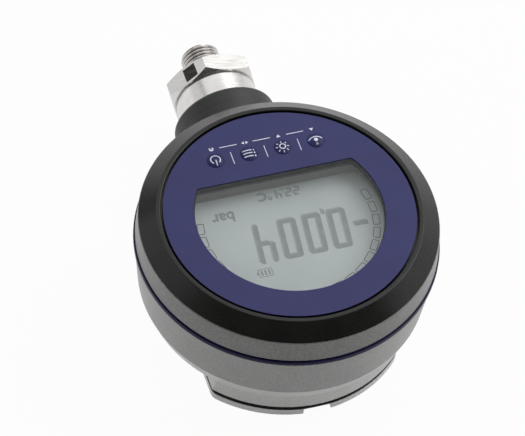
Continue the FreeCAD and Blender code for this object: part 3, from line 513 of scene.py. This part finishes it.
def cell_jacket():
    """Cell with a dark jacket and bare metal rims at both ends."""
    material, tree, shader, place = blank_material("cell_jacket")
    along = node(tree, "ShaderNodeSeparateXYZ", {"Vector": place}).outputs["X"]
    share = maths(tree, "DIVIDE", maths(tree, "ABSOLUTE", along), CELL_REACH)
    shade = ramp(tree, share, [
        (0.0, (0.035, 0.04, 0.05)), (0.5, (0.05, 0.055, 0.065)), (0.72, (0.06, 0.065, 0.075)),
        (0.76, (0.62, 0.61, 0.58))])
    feed(tree, shader, {
        "Base Color": shade,
        "Roughness": spread(tree, grain(tree, place, 1.5 * MM), 0.26, 0.38),
        "Metallic": spread(tree, share, 0.1, 0.9),
    })
    return material


def ink(name, dark, light, rough=(0.5, 0.62)):
    """Printed or shown mark, slightly uneven."""
    return moulded(name, dark, light, rough, grain_size=0.25 * MM, depth=0.002 * MM, cloud_size=3 * MM)


def make_finishes():
    """The finish of every material slot."""
    return {
        "silver_casting": silver_casting("silver_casting", 0.1, 0.8, FOOT_PAINTED_LIGHT_TONES),
        "black_plastic": moulded("black_plastic", (0.0085, 0.0085, 0.0078), (0.016, 0.016, 0.0145),
                                 (0.2, 0.28), depth=0.008 * MM, specular=0.36),
        "grey_plastic": moulded("grey_plastic", (0.12, 0.12, 0.112), (0.17, 0.17, 0.16), (0.5, 0.62)),
        "neck_plastic": neck_plastic(),
        "blue_foil": moulded("blue_foil", (0.036, 0.038, 0.137), (0.043, 0.046, 0.16), (0.4, 0.5),
                             grain_size=0.2 * MM, depth=0.006 * MM, cloud_size=14 * MM, specular=0.22),
        "clear_pane": clear_pane(),
        "display": display_ground(),
        "light_plate": moulded("light_plate", (0.74, 0.76, 0.77), (0.84, 0.86, 0.87), (0.34, 0.44)),
        "navy_stripe": navy_stripe(),
        "black_rubber": moulded("black_rubber", (0.004, 0.004, 0.0038), (0.008, 0.008, 0.0076),
                                (0.6, 0.78), specular=0.08),
        "steel": turned_steel(),
        "zinc_screw": plated("zinc_screw", (0.48, 0.49, 0.5), (0.62, 0.63, 0.64), (0.3, 0.44)),
        "spring_nickel": plated("spring_nickel", (0.62, 0.6, 0.54), (0.74, 0.72, 0.66), (0.18, 0.3)),
        "board": solder_resist(),
        "cell_jacket": cell_jacket(),
        "lead_jacket": moulded("lead_jacket", (0.2, 0.014, 0.014), (0.3, 0.025, 0.025), (0.45, 0.6)),
    }


# Geometry trees
def new_tree(name, inputs):
    """Geometry tree with named inputs; whole numbers are counts."""
    tree = bpy.data.node_groups.new(name, "GeometryNodeTree")
    for label, value in inputs.items():
        kind = "NodeSocketInt" if isinstance(value, int) else "NodeSocketFloat"
        tree.interface.new_socket(label, in_out="INPUT", socket_type=kind).default_value = value
    tree.interface.new_socket("Geometry", in_out="OUTPUT", socket_type="NodeSocketGeometry")
    return tree, node(tree, "NodeGroupInput").outputs


def end_tree(tree, geometry, material):
    """Close a tree: plain mesh with its material."""
    plain = node(tree, "GeometryNodeRealizeInstances", {"Geometry": geometry}).outputs["Geometry"]
    coated = node(tree, "GeometryNodeSetMaterial", {"Geometry": plain, "Material": material})
    node(tree, "NodeGroupOutput", {"Geometry": coated.outputs["Geometry"]})


def placed(name, data):
    """Object that holds a mesh, curve, lamp or lens, put in the scene."""
    made = bpy.data.objects.new(name, data)
    bpy.context.scene.collection.objects.link(made)
    return made


def plain_mesh(piece):
    """Mesh of a curve or of a piece with its tree."""
    return bpy.data.meshes.new_from_object(piece.evaluated_get(bpy.context.evaluated_depsgraph_get()))


def grown(name, tree, values):
    """Piece made by a tree, as a plain mesh."""
    piece = placed(name, bpy.data.meshes.new(name))
    modifier = piece.modifiers.new("tree", "NODES")
    modifier.node_group = tree
    for socket in tree.interface.items_tree:
        if socket.in_out == "INPUT":
            modifier[socket.identifier] = values[socket.name]
    mesh = plain_mesh(piece)
    piece.modifiers.remove(modifier)
    piece.data = mesh
    mesh.name = name
    return piece


def thread_tree(sizes, material):
    """Right-hand thread on the connection's axis, with a run-out and a chamfered tip."""
    tree, given = new_tree("pipe_thread", sizes)
    grid = node(tree, "GeometryNodeMeshGrid", {
        "Size X": 1.0, "Size Y": 1.0,
        "Vertices X": given["Steps Along"], "Vertices Y": given["Steps Around"]})
    position = node(tree, "GeometryNodeInputPosition").outputs[0]
    spot = node(tree, "ShaderNodeSeparateXYZ", {0: position}).outputs
    along = maths(tree, "MULTIPLY", maths(tree, "ADD", spot["X"], 0.5), given["Length"])
    around = maths(tree, "ADD", spot["Y"], 0.5)
    station = maths(tree, "ADD", given["End"], along)
    turns = maths(tree, "SUBTRACT", maths(tree, "DIVIDE", station, given["Pitch"]), around)
    wave = maths(tree, "PINGPONG", turns, 0.5)
    dip = node(tree, "ShaderNodeMapRange", {
        "Value": wave, "From Min": given["Crest"], "From Max": given["Root"]}).outputs["Result"]
    flank = maths(tree, "SUBTRACT", given["Radius"], maths(tree, "MULTIPLY", dip, given["Depth"]))
    tip = maths(tree, "ADD", maths(tree, "SUBTRACT", given["Radius"], given["Chamfer"]), along)
    left = maths(tree, "SUBTRACT", given["Length"], along)
    run_out = maths(tree, "ADD", given["Relief Radius"], left)
    radius = maths(tree, "MINIMUM", maths(tree, "MINIMUM", flank, tip), run_out)
    angle = maths(tree, "MULTIPLY", around, math.tau)
    rise = maths(tree, "MULTIPLY", radius, maths(tree, "COSINE", angle))
    place = node(tree, "ShaderNodeCombineXYZ", {
        "X": maths(tree, "MULTIPLY", radius, maths(tree, "SINE", angle)),
        "Y": station,
        "Z": maths(tree, "ADD", rise, given["Height"])})
    wound = node(tree, "GeometryNodeSetPosition", {
        "Geometry": grid.outputs["Mesh"], "Position": place.outputs[0]})
    closed = node(tree, "GeometryNodeMergeByDistance", {
        "Geometry": wound.outputs["Geometry"], "Distance": MERGE_DISTANCE})
    smooth = node(tree, "GeometryNodeSetShadeSmooth", {"Geometry": closed.outputs["Geometry"]})
    end_tree(tree, smooth.outputs["Geometry"], material)
    return tree


def row_tree(sizes, material):
    """Row of equal bars along X."""
    tree, given = new_tree("row_of_bars", sizes)
    start = node(tree, "ShaderNodeCombineXYZ", {
        "X": given["First"], "Y": given["Row"], "Z": given["Level"]})
    step = node(tree, "ShaderNodeCombineXYZ", {"X": given["Pitch"]})
    line = node(tree, "GeometryNodeMeshLine", {
        "Count": given["Count"], "Start Location": start.outputs[0], "Offset": step.outputs[0]})
    size = node(tree, "ShaderNodeCombineXYZ", {
        "X": given["Width"], "Y": given["Length"], "Z": given["Height"]})
    bar = node(tree, "GeometryNodeMeshCube", {"Size": size.outputs[0]})
    bars = node(tree, "GeometryNodeInstanceOnPoints", {
        "Points": line.outputs["Mesh"], "Instance": bar.outputs["Mesh"]})
    end_tree(tree, bars.outputs["Instances"], material)
    return tree


def arc_tree(sizes, material):
    """Outlined boxes along an arc."""
    tree, given = new_tree("boxes_on_arc", sizes)
    points = node(tree, "GeometryNodeMeshLine", {"Count": given["Count"]})
    index = node(tree, "GeometryNodeInputIndex").outputs[0]
    share = maths(tree, "DIVIDE", maths(tree, "ADD", index, 0.5), given["Count"])
    sweep = maths(tree, "SUBTRACT", given["Last Angle"], given["First Angle"])
    angle = maths(tree, "MULTIPLY_ADD", share, sweep, given["First Angle"])
    middle = maths(tree, "MULTIPLY", maths(tree, "ADD", given["Inner"], given["Outer"]), 0.5)
    place = node(tree, "ShaderNodeCombineXYZ", {
        "X": maths(tree, "MULTIPLY_ADD", middle, maths(tree, "COSINE", angle), given["Middle X"]),
        "Y": maths(tree, "MULTIPLY_ADD", middle, maths(tree, "SINE", angle), given["Middle Y"]),
        "Z": given["Level"]})
    set_out = node(tree, "GeometryNodeSetPosition", {
        "Geometry": points.outputs["Mesh"], "Position": place.outputs[0]})
    pitch = maths(tree, "DIVIDE", maths(tree, "ABSOLUTE", sweep), given["Count"])
    room = maths(tree, "SUBTRACT", maths(tree, "MULTIPLY", pitch, middle), given["Gap"])
    box = node(tree, "GeometryNodeCurvePrimitiveQuadrilateral", {
        "Width": maths(tree, "SUBTRACT", given["Outer"], given["Inner"]), "Height": room})
    outline = node(tree, "GeometryNodeFilletCurve", {
        "Curve": box.outputs["Curve"], "Count": BAR_CORNER_STEPS, "Radius": given["Corner"]}, mode="POLY")
    section = node(tree, "GeometryNodeCurvePrimitiveQuadrilateral", {
        "Width": given["Line"], "Height": given["Height"]})
    frame_mesh = node(tree, "GeometryNodeCurveToMesh", {
        "Curve": outline.outputs["Curve"], "Profile Curve": section.outputs["Curve"]})
    turn = node(tree, "ShaderNodeCombineXYZ", {"Z": angle})
    boxes = node(tree, "GeometryNodeInstanceOnPoints", {
        "Points": set_out.outputs["Geometry"], "Instance": frame_mesh.outputs["Mesh"],
        "Rotation": turn.outputs[0]})
    end_tree(tree, boxes.outputs["Instances"], material)
    return tree


def ray_tree(sizes, material):
    """Short bars round a point, each along its own radius."""
    tree, given = new_tree("ring_of_rays", sizes)
    points = node(tree, "GeometryNodeMeshLine", {"Count": given["Count"]})
    index = node(tree, "GeometryNodeInputIndex").outputs[0]
    angle = maths(tree, "MULTIPLY", maths(tree, "DIVIDE", index, given["Count"]), math.tau)
    place = node(tree, "ShaderNodeCombineXYZ", {
        "X": maths(tree, "MULTIPLY_ADD", given["Radius"], maths(tree, "COSINE", angle), given["Middle X"]),
        "Y": maths(tree, "MULTIPLY_ADD", given["Radius"], maths(tree, "SINE", angle), given["Middle Y"]),
        "Z": given["Level"]})
    set_out = node(tree, "GeometryNodeSetPosition", {
        "Geometry": points.outputs["Mesh"], "Position": place.outputs[0]})
    size = node(tree, "ShaderNodeCombineXYZ", {
        "X": given["Length"], "Y": given["Width"], "Z": given["Height"]})
    bar = node(tree, "GeometryNodeMeshCube", {"Size": size.outputs[0]})
    turn = node(tree, "ShaderNodeCombineXYZ", {"Z": angle})
    rays = node(tree, "GeometryNodeInstanceOnPoints", {
        "Points": set_out.outputs["Geometry"], "Instance": bar.outputs["Mesh"],
        "Rotation": turn.outputs[0]})
    end_tree(tree, rays.outputs["Instances"], material)
    return tree


# Flat marks, drawn in millimetres and laid on a surface
def stroke(points, width):
    """Quads along a line of points."""
    sides = []
    for index, point in enumerate(points):
        before = Vector(points[max(index - 1, 0)])
        after = Vector(points[min(index + 1, len(points) - 1)])
        ahead = (after - before).normalized()
        across = Vector((-ahead.y, ahead.x)) * width / 2
        sides.append((Vector(point) + across, Vector(point) - across))
    quads = []
    for (left, right), (next_left, next_right) in zip(sides, sides[1:]):
        quads.append([left, right, next_right, next_left])
    return quads


def arc_points(centre, radius, first, last, steps=28):
    """Points on an arc, angles in degrees."""
    points = []
    for index in range(steps + 1):
        angle = math.radians(first + (last - first) * index / steps)
        points.append((centre[0] + radius * math.cos(angle), centre[1] + radius * math.sin(angle)))
    return points


def disc(centre, radius, steps=20):
    """Filled round spot as thin wedges."""
    rim = arc_points(centre, radius, 0.0, 360.0, steps)
    return [[Vector(centre), Vector(first), Vector(second)] for first, second in zip(rim, rim[1:])]


def moved(faces, shift):
    """Faces moved by (x, y)."""
    return [[Vector(corner) + Vector(shift) for corner in face] for face in faces]


def laid(name, faces, surface, material, body, height=PRINT_HEIGHT):
    """Thin raised mark over a surface, closed on all sides."""
    work = bmesh.new()
    for face in faces:
        corners = [work.verts.new((corner[0] * MM, corner[1] * MM, 0.0)) for corner in face]
        work.faces.new(corners)
    bmesh.ops.remove_doubles(work, verts=work.verts[:], dist=MERGE_DISTANCE)
    lower = work.verts[:]
    raised = bmesh.ops.extrude_face_region(work, geom=work.faces[:])
    upper = [part for part in raised["geom"] if isinstance(part, bmesh.types.BMVert)]
    for corner in lower:
        corner.co.z = surface(corner.co.x, corner.co.y)
    for corner in upper:
        corner.co.z = surface(corner.co.x, corner.co.y) + height
    bmesh.ops.recalc_face_normals(work, faces=work.faces[:])
    mesh = bpy.data.meshes.new(name)
    work.to_mesh(mesh)
    work.free()
    mesh.materials.append(material)
    piece = placed(name, mesh)
    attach(piece, body)
    return piece


def on_foil(x, y):
    """Height of the foil."""
    return FOIL_LEVEL


def on_display(x, y):
    """Height of the display's glass."""
    return DISPLAY_LEVEL


def key_centre(key):
    """Middle of a key in plan, in metres."""
    low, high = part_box(key)
    return (low.x + high.x) / 2, (low.y + high.y) / 2


def on_key(key):
    """Height of a key's dome as a function of place."""
    low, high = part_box(key)
    centre_x, centre_y = key_centre(key)
    radius = (high.x - low.x) / 2
    rise = high.z - FOIL_LEVEL
    sphere = (radius ** 2 + rise ** 2) / (2 * rise)

    def dome(x, y):
        flat = (x - centre_x) ** 2 + (y - centre_y) ** 2
        return high.z - sphere + math.sqrt(sphere ** 2 - flat)

    return dome


# Display content
SEGMENTS = {
    "0": "abcdef", "1": "bc", "2": "abdeg", "3": "abcdg", "4": "bcfg",
    "5": "acdfg", "6": "acdefg", "7": "abc", "8": "abcdefg", "9": "abcdfg",
}


def mirrored(outline, x_sign, y_sign):
    """Outline on another side of the figure."""
    return [(x * x_sign, y * y_sign) for x, y in outline]


def digit(figure, centre, width, height, pen):
    """Seven-segment figure with cut corners, leaning to the right."""
    outer_x, outer_y = width / 2, height / 2
    inner_x, inner_y = outer_x - pen, outer_y - pen
    gap, cut = SEGMENT_GAP, DIGIT_CORNER * pen
    bar_x, half_pen = inner_x - gap, pen / 2
    cap = [(-bar_x, outer_y), (-bar_x, inner_y), (bar_x, inner_y), (bar_x, outer_y)]
    side = [
        (outer_x - cut, outer_y), (inner_x, outer_y), (inner_x, gap),
        (outer_x, gap), (outer_x, outer_y - cut),
    ]
    middle = [(-bar_x, half_pen), (-bar_x, -half_pen), (bar_x, -half_pen), (bar_x, half_pen)]
    shapes = {
        "a": cap, "b": side, "c": mirrored(side, 1, -1), "d": mirrored(cap, 1, -1),
        "e": mirrored(side, -1, -1), "f": mirrored(side, -1, 1), "g": middle,
    }
    faces = []
    for letter in SEGMENTS[figure]:
        faces.append([Vector((centre[0] + x + DIGIT_SLANT * y, centre[1] + y)) for x, y in shapes[letter]])
    return faces


def reading():
    """The large figures, their point and the sign."""
    faces = []
    first = DIGIT_MIDDLE[0] - (len(READING) - 1) / 2 * DIGIT_PITCH
    for index, figure in enumerate(READING):
        centre = (first + index * DIGIT_PITCH, DIGIT_MIDDLE[1])
        faces += digit(figure, centre, DIGIT_WIDTH, DIGIT_HEIGHT, DIGIT_STROKE)
    foot = DIGIT_MIDDLE[1] - DIGIT_HEIGHT / 2
    point_x = first + DIGIT_PITCH / 2 - DIGIT_SLANT * DIGIT_HEIGHT / 2
    faces += moved(stroke([POINT_START, POINT_END], POINT_LINE), (point_x, foot))
    minus_end = (first - DIGIT_WIDTH / 2 - MINUS_GAP, DIGIT_MIDDLE[1] - MINUS_DROP)
    faces += stroke([(minus_end[0] - MINUS_LENGTH, minus_end[1]), minus_end], DIGIT_STROKE)
    return faces


def temperature():
    """The small figures of the second line, with a point before the last."""
    faces = []
    for index, figure in enumerate(SMALL_READING):
        room = SMALL_POINT_ROOM if index == len(SMALL_READING) - 1 else 0.0
        centre = (SMALL_FIRST[0] + index * SMALL_PITCH + room, SMALL_FIRST[1])
        faces += digit(figure, centre, SMALL_WIDTH, SMALL_HEIGHT, SMALL_STROKE)
    faces += disc(SMALL_POINT, SMALL_POINT_RADIUS)
    return faces


def letters(text, corner, height):
    """Faces of a short word, its lower left corner at a place."""
    curve = bpy.data.curves.new("letters", "FONT")
    curve.body = text
    curve.size = height
    curve.offset = LETTER_WEIGHT
    curve.resolution_u = LETTER_STEPS
    holder = placed("letters", curve)
    mesh = plain_mesh(holder)
    faces = []
    for polygon in mesh.polygons:
        corners = [mesh.vertices[index].co for index in polygon.vertices]
        faces.append([Vector((corner[0] + co.x + DIGIT_SLANT * co.y, corner[1] + co.y)) for co in corners])
    bpy.data.objects.remove(holder)
    bpy.data.curves.remove(curve)
    bpy.data.meshes.remove(mesh)
    return faces


def battery_sign():
    """Small sign of a charged cell."""
    rim = [
        (BATTERY_LEFT, BATTERY_LOW), (BATTERY_RIGHT, BATTERY_LOW), (BATTERY_RIGHT, BATTERY_HIGH),
        (BATTERY_LEFT, BATTERY_HIGH), (BATTERY_LEFT, BATTERY_LOW),
    ]
    faces = []
    for start, end in zip(rim, rim[1:]):
        faces += stroke([start, end], BATTERY_LINE)
    for index in range(CHARGE_COUNT):
        x = BATTERY_LEFT + CHARGE_FIRST + index * CHARGE_PITCH
        faces += stroke([(x, BATTERY_LOW + CHARGE_MARGIN), (x, BATTERY_HIGH - CHARGE_MARGIN)], CHARGE_LINE)
    tip_x = BATTERY_RIGHT + BATTERY_TIP_SHIFT
    tip = [(tip_x, BATTERY_LOW + BATTERY_TIP_MARGIN), (tip_x, BATTERY_HIGH - BATTERY_TIP_MARGIN)]
    return faces + stroke(tip, BATTERY_TIP_LINE)


def dress_display(shade, core, line):
    """Everything that the display shows: each mark with a fainter shade under it, and the bar graph."""
    figures = reading()
    small = temperature() + letters("°C", DEGREES_CORNER, DEGREES_HEIGHT)
    small += letters("bar", UNIT_CORNER, UNIT_HEIGHT)
    marks = (
        ("reading_shade", moved(figures, SHADE_SHIFT), shade, SHADE_HEIGHT),
        ("reading", figures, core, SEGMENT_HEIGHT),
        ("units_shade", moved(small, SMALL_SHADE_SHIFT), shade, SHADE_HEIGHT),
        ("units", small, core, SEGMENT_HEIGHT),
        ("battery_sign", battery_sign(), core, SEGMENT_HEIGHT),
    )
    for name, faces, tone, height in marks:
        laid(name, faces, on_display, tone, "gauge_head", height)
    sizes = {
        "Count": BAR_COUNT,
        "First Angle": math.radians(BAR_FIRST_ANGLE), "Last Angle": math.radians(BAR_LAST_ANGLE),
        "Middle X": BAR_MIDDLE[0], "Middle Y": BAR_MIDDLE[1], "Level": DISPLAY_LEVEL + SEGMENT_HEIGHT / 2,
        "Inner": BAR_INNER, "Outer": BAR_OUTER, "Gap": BAR_GAP, "Corner": BAR_CORNER, "Line": BAR_LINE,
        "Height": SEGMENT_HEIGHT,
    }
    boxes = grown("bar_graph", arc_tree(sizes, line), sizes)
    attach(boxes, "gauge_head")


# Print on the foil and the keys
def power_sign():
    """Open ring with a line through its gap."""
    ring = arc_points((0, POWER_DROP), POWER_RING, 90.0 + POWER_HALF_GAP, 450.0 - POWER_HALF_GAP)
    line = [(0, POWER_LINE_START + POWER_LINE_STEP * step) for step in range(POWER_LINE_POINTS)]
    return stroke(ring, SIGN_LINE) + stroke(line, SIGN_LINE)


def list_sign():
    """Three lines, each with a dot."""
    faces = []
    for row in LIST_ROWS:
        faces += stroke([(LIST_START + LIST_STEP * step, row) for step in range(LIST_POINTS)], SIGN_LINE)
        faces += disc((LIST_DOT_PLACE, row), LIST_DOT_RADIUS, LIST_DOT_STEPS)
    return faces


def lamp_ring():
    """Ring in the middle of the lamp sign."""
    return stroke(arc_points((0, 0), LAMP_RING, 0.0, 360.0), LAMP_LINE)


def zero_sign():
    """Spot over a shallow bow, with a small tip above."""
    bow = arc_points(BOW_MIDDLE, BOW_RADIUS, 270.0 - BOW_HALF_ANGLE, 270.0 + BOW_HALF_ANGLE)
    spot = disc(ZERO_SPOT_PLACE, ZERO_SPOT_RADIUS, ZERO_SPOT_STEPS)
    return stroke(bow, SIGN_LINE) + spot + [ZERO_TIP]


def small_signs():
    """The row of small signs near the foil's edge."""
    pitch, row = KEY_PITCH / MM, SIGN_ROW / MM
    lock = stroke(arc_points((0, 0), LOCK_RADIUS, *LOCK_BOW_ENDS, LOCK_BOW_STEPS), LOCK_BOW_LINE)
    for x in (-LOCK_RADIUS, LOCK_RADIUS):
        lock += stroke([(x, LOCK_LEG_TOP), (x, LOCK_LEG_FOOT)], LOCK_LEG_LINE)
    faces = []
    for index, sign in enumerate(([ARROW_UP], [ARROW_DOWN], [ARROW_LEFT, ARROW_RIGHT], lock)):
        faces += moved(sign, ((index - (len(KEYS) - 1) / 2) * pitch, row))
    return faces


def dress_keys(print_ink):
    """Signs on the domes and the print round them."""
    signs = {
        "power_key": power_sign(), "menu_key": list_sign(),
        "light_key": lamp_ring(), "zero_key": zero_sign(),
    }
    for key in KEYS:
        x, y = key_centre(key)
        faces = moved(signs[key], (x / MM, y / MM))
        laid(key.replace("key", "sign"), faces, on_key(key), print_ink, key)
    x, y = key_centre("light_key")
    sizes = {
        "Count": RAY_COUNT, "Radius": RAY_RADIUS, "Length": RAY_LENGTH, "Width": RAY_WIDTH,
        "Height": PRINT_HEIGHT, "Middle X": x, "Middle Y": y, "Level": PRINT_HEIGHT / 2,
    }
    rays = grown("light_rays", ray_tree(sizes, print_ink), sizes)
    dome = on_key("light_key")
    for corner in rays.data.vertices:
        corner.co.z += dome(corner.co.x, corner.co.y)
    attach(rays, "light_key")
    laid("small_signs", small_signs(), on_foil, print_ink, "gauge_head")
    level = FOIL_LEVEL + PRINT_HEIGHT / 2
    separators = {
        "Count": len(KEYS) - 1, "Pitch": KEY_PITCH, "First": -KEY_PITCH,
        "Row": SEPARATOR_ROW, "Level": level,
        "Width": SEPARATOR_WIDTH, "Length": SEPARATOR_LENGTH, "Height": PRINT_HEIGHT,
    }
    dashes = dict(separators, Row=SIGN_ROW, Width=DASH_LENGTH, Length=DASH_WIDTH)
    bars = row_tree(separators, print_ink)
    for name, sizes in (("separators", separators), ("dashes", dashes)):
        piece = grown(name, bars, sizes)
        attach(piece, "gauge_head")


# Connection
def threaded_connection(steel):
    """The connection with its thread cut in, in place of the smooth one."""
    sizes = {
        "Radius": THREAD_RADIUS, "Pitch": THREAD_PITCH, "Depth": THREAD_DEPTH, "Length": THREAD_LENGTH,
        "Crest": THREAD_CREST, "Root": THREAD_ROOT, "End": THREAD_END, "Chamfer": THREAD_CHAMFER,
        "Relief Radius": RELIEF_RADIUS, "Height": PORT_HEIGHT,
        "Steps Along": THREAD_STEPS_ALONG, "Steps Around": THREAD_STEPS_AROUND,
    }
    thread = grown("thread", thread_tree(sizes, steel), sizes)
    work = bmesh.new()
    work.from_mesh(frame["nodes"]["process_connection"].data)
    bmesh.ops.remove_doubles(work, verts=work.verts[:], dist=MERGE_DISTANCE)
    inner = RELIEF_RADIUS - THREAD_MARGIN
    reach = THREAD_END + THREAD_LENGTH + THREAD_MARGIN
    wall = []
    for face in work.faces:
        corners = [corner.co for corner in face.verts]
        outside = all(math.hypot(place.x, place.z - PORT_HEIGHT) > inner for place in corners)
        if outside and all(place.y < reach for place in corners):
            wall.append(face)
    bmesh.ops.delete(work, geom=wall, context="FACES")
    for layer in list(work.loops.layers.float_vector.keys()):
        work.loops.layers.float_vector.remove(work.loops.layers.float_vector[layer])
    work.from_mesh(thread.data)
    bmesh.ops.recalc_face_normals(work, faces=work.faces[:])
    mesh = bpy.data.meshes.new("steel_connection")
    work.to_mesh(mesh)
    work.free()
    stale = mesh.attributes.get("custom_normal")
    if stale:
        mesh.attributes.remove(stale)
    mesh.materials.clear()
    mesh.materials.append(steel)
    mesh.shade_smooth()
    mesh.set_sharp_from_angle(angle=math.radians(SHARP_ANGLE))
    bpy.data.objects.remove(thread)
    piece = placed("steel_connection", mesh)
    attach(piece, "connection")
    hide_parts("process_connection")


def etched_square(dark):
    """Plain etched square on one flat of the hexagon."""
    half = ETCHED_SIDE / 2 / MM
    lines = [-half + 2 * half * index / ETCHED_STEPS for index in range(ETCHED_STEPS + 1)]
    faces = []
    for x0, x1 in zip(lines, lines[1:]):
        for y0, y1 in zip(lines, lines[1:]):
            faces.append([(x0, y0), (x1, y0), (x1, y1), (x0, y1)])
    piece = laid("etched_square", faces, lambda x, y: 0.0, dark, "connection", ETCHED_HEIGHT)
    angle = math.radians(HEX_FLAT_ANGLE)
    outward = Vector((math.sin(angle), 0.0, math.cos(angle)))
    along = Vector((0.0, 1.0, 0.0))
    across = along.cross(outward)
    centre = Vector((0.0, HEX_MIDDLE, PORT_HEIGHT)) + outward * HEX_ACROSS_FLATS / 2 + across * ETCHED_SHIFT
    piece.data.transform(Matrix((
        (across.x, along.x, outward.x, centre.x),
        (across.y, along.y, outward.y, centre.y),
        (across.z, along.z, outward.z, centre.z),
        (0.0, 0.0, 0.0, 1.0))))


# Stage
def white_rays(tree):
    """1 for rays that see the background themselves, from the camera, in gloss or through glass."""
    path = node(tree, "ShaderNodeLightPath").outputs
    seen = maths(tree, "MAXIMUM", path["Is Camera Ray"], path["Is Glossy Ray"])
    return maths(tree, "MAXIMUM", seen, path["Is Transmission Ray"])


def room_light(tree):
    """Brightness of the room: white walls low down, grey in front, and a dim ceiling above."""
    direction = node(tree, "ShaderNodeTexCoord").outputs["Generated"]
    towards = node(tree, "ShaderNodeSeparateXYZ", {"Vector": direction}).outputs
    wall = node(tree, "ShaderNodeMapRange", {
        "Value": towards["Y"], "From Min": FRONT_START, "From Max": FRONT_FULL,
        "To Min": 1.0, "To Max": GREY_FRONT}).outputs["Result"]
    return node(tree, "ShaderNodeMapRange", {
        "Value": towards["Z"], "From Min": WALL_TOP, "From Max": CEILING_START,
        "To Min": wall, "To Max": DIM_CEILING}).outputs["Result"]


def make_floor():
    """White table top that keeps a soft shadow."""
    mesh = bpy.data.meshes.new("table_top")
    sides = ((-1, -1), (1, -1), (1, 1), (-1, 1))
    corners = [(x * TABLE_HALF, y * TABLE_HALF, TABLE_LEVEL) for x, y in sides]
    mesh.from_pydata(corners, [], [(0, 1, 2, 3)])
    material = bpy.data.materials.new("white_table")
    material.use_nodes = True
    tree = material.node_tree
    tree.nodes.clear()
    matt = node(tree, "ShaderNodeBsdfDiffuse", {"Color": (TABLE_TONE, TABLE_TONE, TABLE_TONE, 1.0)})
    glow = node(tree, "ShaderNodeEmission", {"Color": (1.0, 1.0, 1.0, 1.0), "Strength": 1.0})
    share = maths(tree, "MULTIPLY", white_rays(tree), TABLE_GLOW)
    both = node(tree, "ShaderNodeMixShader", {0: share, 1: matt.outputs[0], 2: glow.outputs[0]})
    node(tree, "ShaderNodeOutputMaterial", {"Surface": both.outputs[0]})
    mesh.materials.append(material)
    table = placed("table_top", mesh)


def make_world():
    """The room round the table."""
    world = bpy.data.worlds.new("white_room")
    bpy.context.scene.world = world
    world.use_nodes = True
    tree = world.node_tree
    tree.nodes.clear()
    room = node(tree, "ShaderNodeBackground", {"Color": (1.0, 1.0, 1.0, 1.0), "Strength": room_light(tree)})
    node(tree, "ShaderNodeOutputWorld", {"Surface": room.outputs[0]})


def soft_box(name, place, size, watts):
    """Large soft lamp, turned towards the gauge."""
    lamp = bpy.data.lights.new(name, "AREA")
    lamp.shape = "RECTANGLE"
    lamp.size, lamp.size_y = size
    lamp.energy = watts
    holder = placed(name, lamp)
    holder.location = place
    holder.rotation_euler = (Vector(LAMP_AIM) - Vector(place)).to_track_quat("-Z", "Y").to_euler()


def make_camera():
    """Camera over the display's top edge, with a long lens."""
    lens = bpy.data.cameras.new("camera")
    lens.sensor_fit = "HORIZONTAL"
    lens.sensor_width = SENSOR_WIDTH
    lens.lens = CAMERA_LENS
    lens.clip_start = NEAREST
    lens.clip_end = FARTHEST
    camera = placed("camera", lens)
    right, up = Vector(CAMERA_RIGHT), Vector(CAMERA_UP)
    back = right.cross(up)
    camera.matrix_world = Matrix.Translation(CAMERA_EYE) @ Matrix((right, up, back)).transposed().to_4x4()
    bpy.context.scene.camera = camera


def main():
    """Dress the gauge and light it."""
    finishes = make_finishes()
    for row in frame["record"]["subparts"]:
        frame["nodes"][row["node"]].material_slots[0].material = finishes[row["material_slot"]]
    own_finishes = {
        "front_case": silver_casting("silver_ring", 0.05, 0.35, WALL_TONES),
        # The battery cover takes still lighter tones: painted light from the table
        "battery_cover": silver_casting("silver_cover_painted_light", 0.1, 0.8, COVER_PAINTED_LIGHT_TONES),
    }
    # The domes take a darker copy of the foil's blue: painted shade on the keys
    dome = moulded("key_dome_shaded", (0.025, 0.027, 0.105), (0.031, 0.034, 0.125), (0.36, 0.44),
                   grain_size=0.2 * MM, depth=0.004 * MM, cloud_size=14 * MM, specular=0.16)
    own_finishes.update({key: dome for key in KEYS})
    for name, finish in own_finishes.items():
        frame["nodes"][name].material_slots[0].material = finish
    shade_ink = ink("segment_shade", (0.285, 0.32, 0.316), (0.32, 0.358, 0.352))
    segment_ink = ink("segment_ink", (0.2, 0.226, 0.232), (0.24, 0.27, 0.275))
    line_ink = ink("line_ink", (0.05, 0.056, 0.06), (0.08, 0.088, 0.094))
    print_ink = ink("print_ink", (0.76, 0.77, 0.92), (0.86, 0.87, 0.98))
    etched = moulded("etched_steel", (0.004, 0.004, 0.003), (0.085, 0.078, 0.074), (0.5, 0.7),
                     grain_size=0.6 * MM, depth=0.01 * MM, cloud_size=1.3 * MM, specular=0.2)
    dress_display(shade_ink, segment_ink, line_ink)
    dress_keys(print_ink)
    threaded_connection(finishes["steel"])
    etched_square(etched)
    make_floor()
    make_world()
    for name, place, size, watts in LAMPS:
        soft_box(name, place, size, watts)
    make_camera()
    bpy.context.scene.view_settings.view_transform = "Standard"


main()
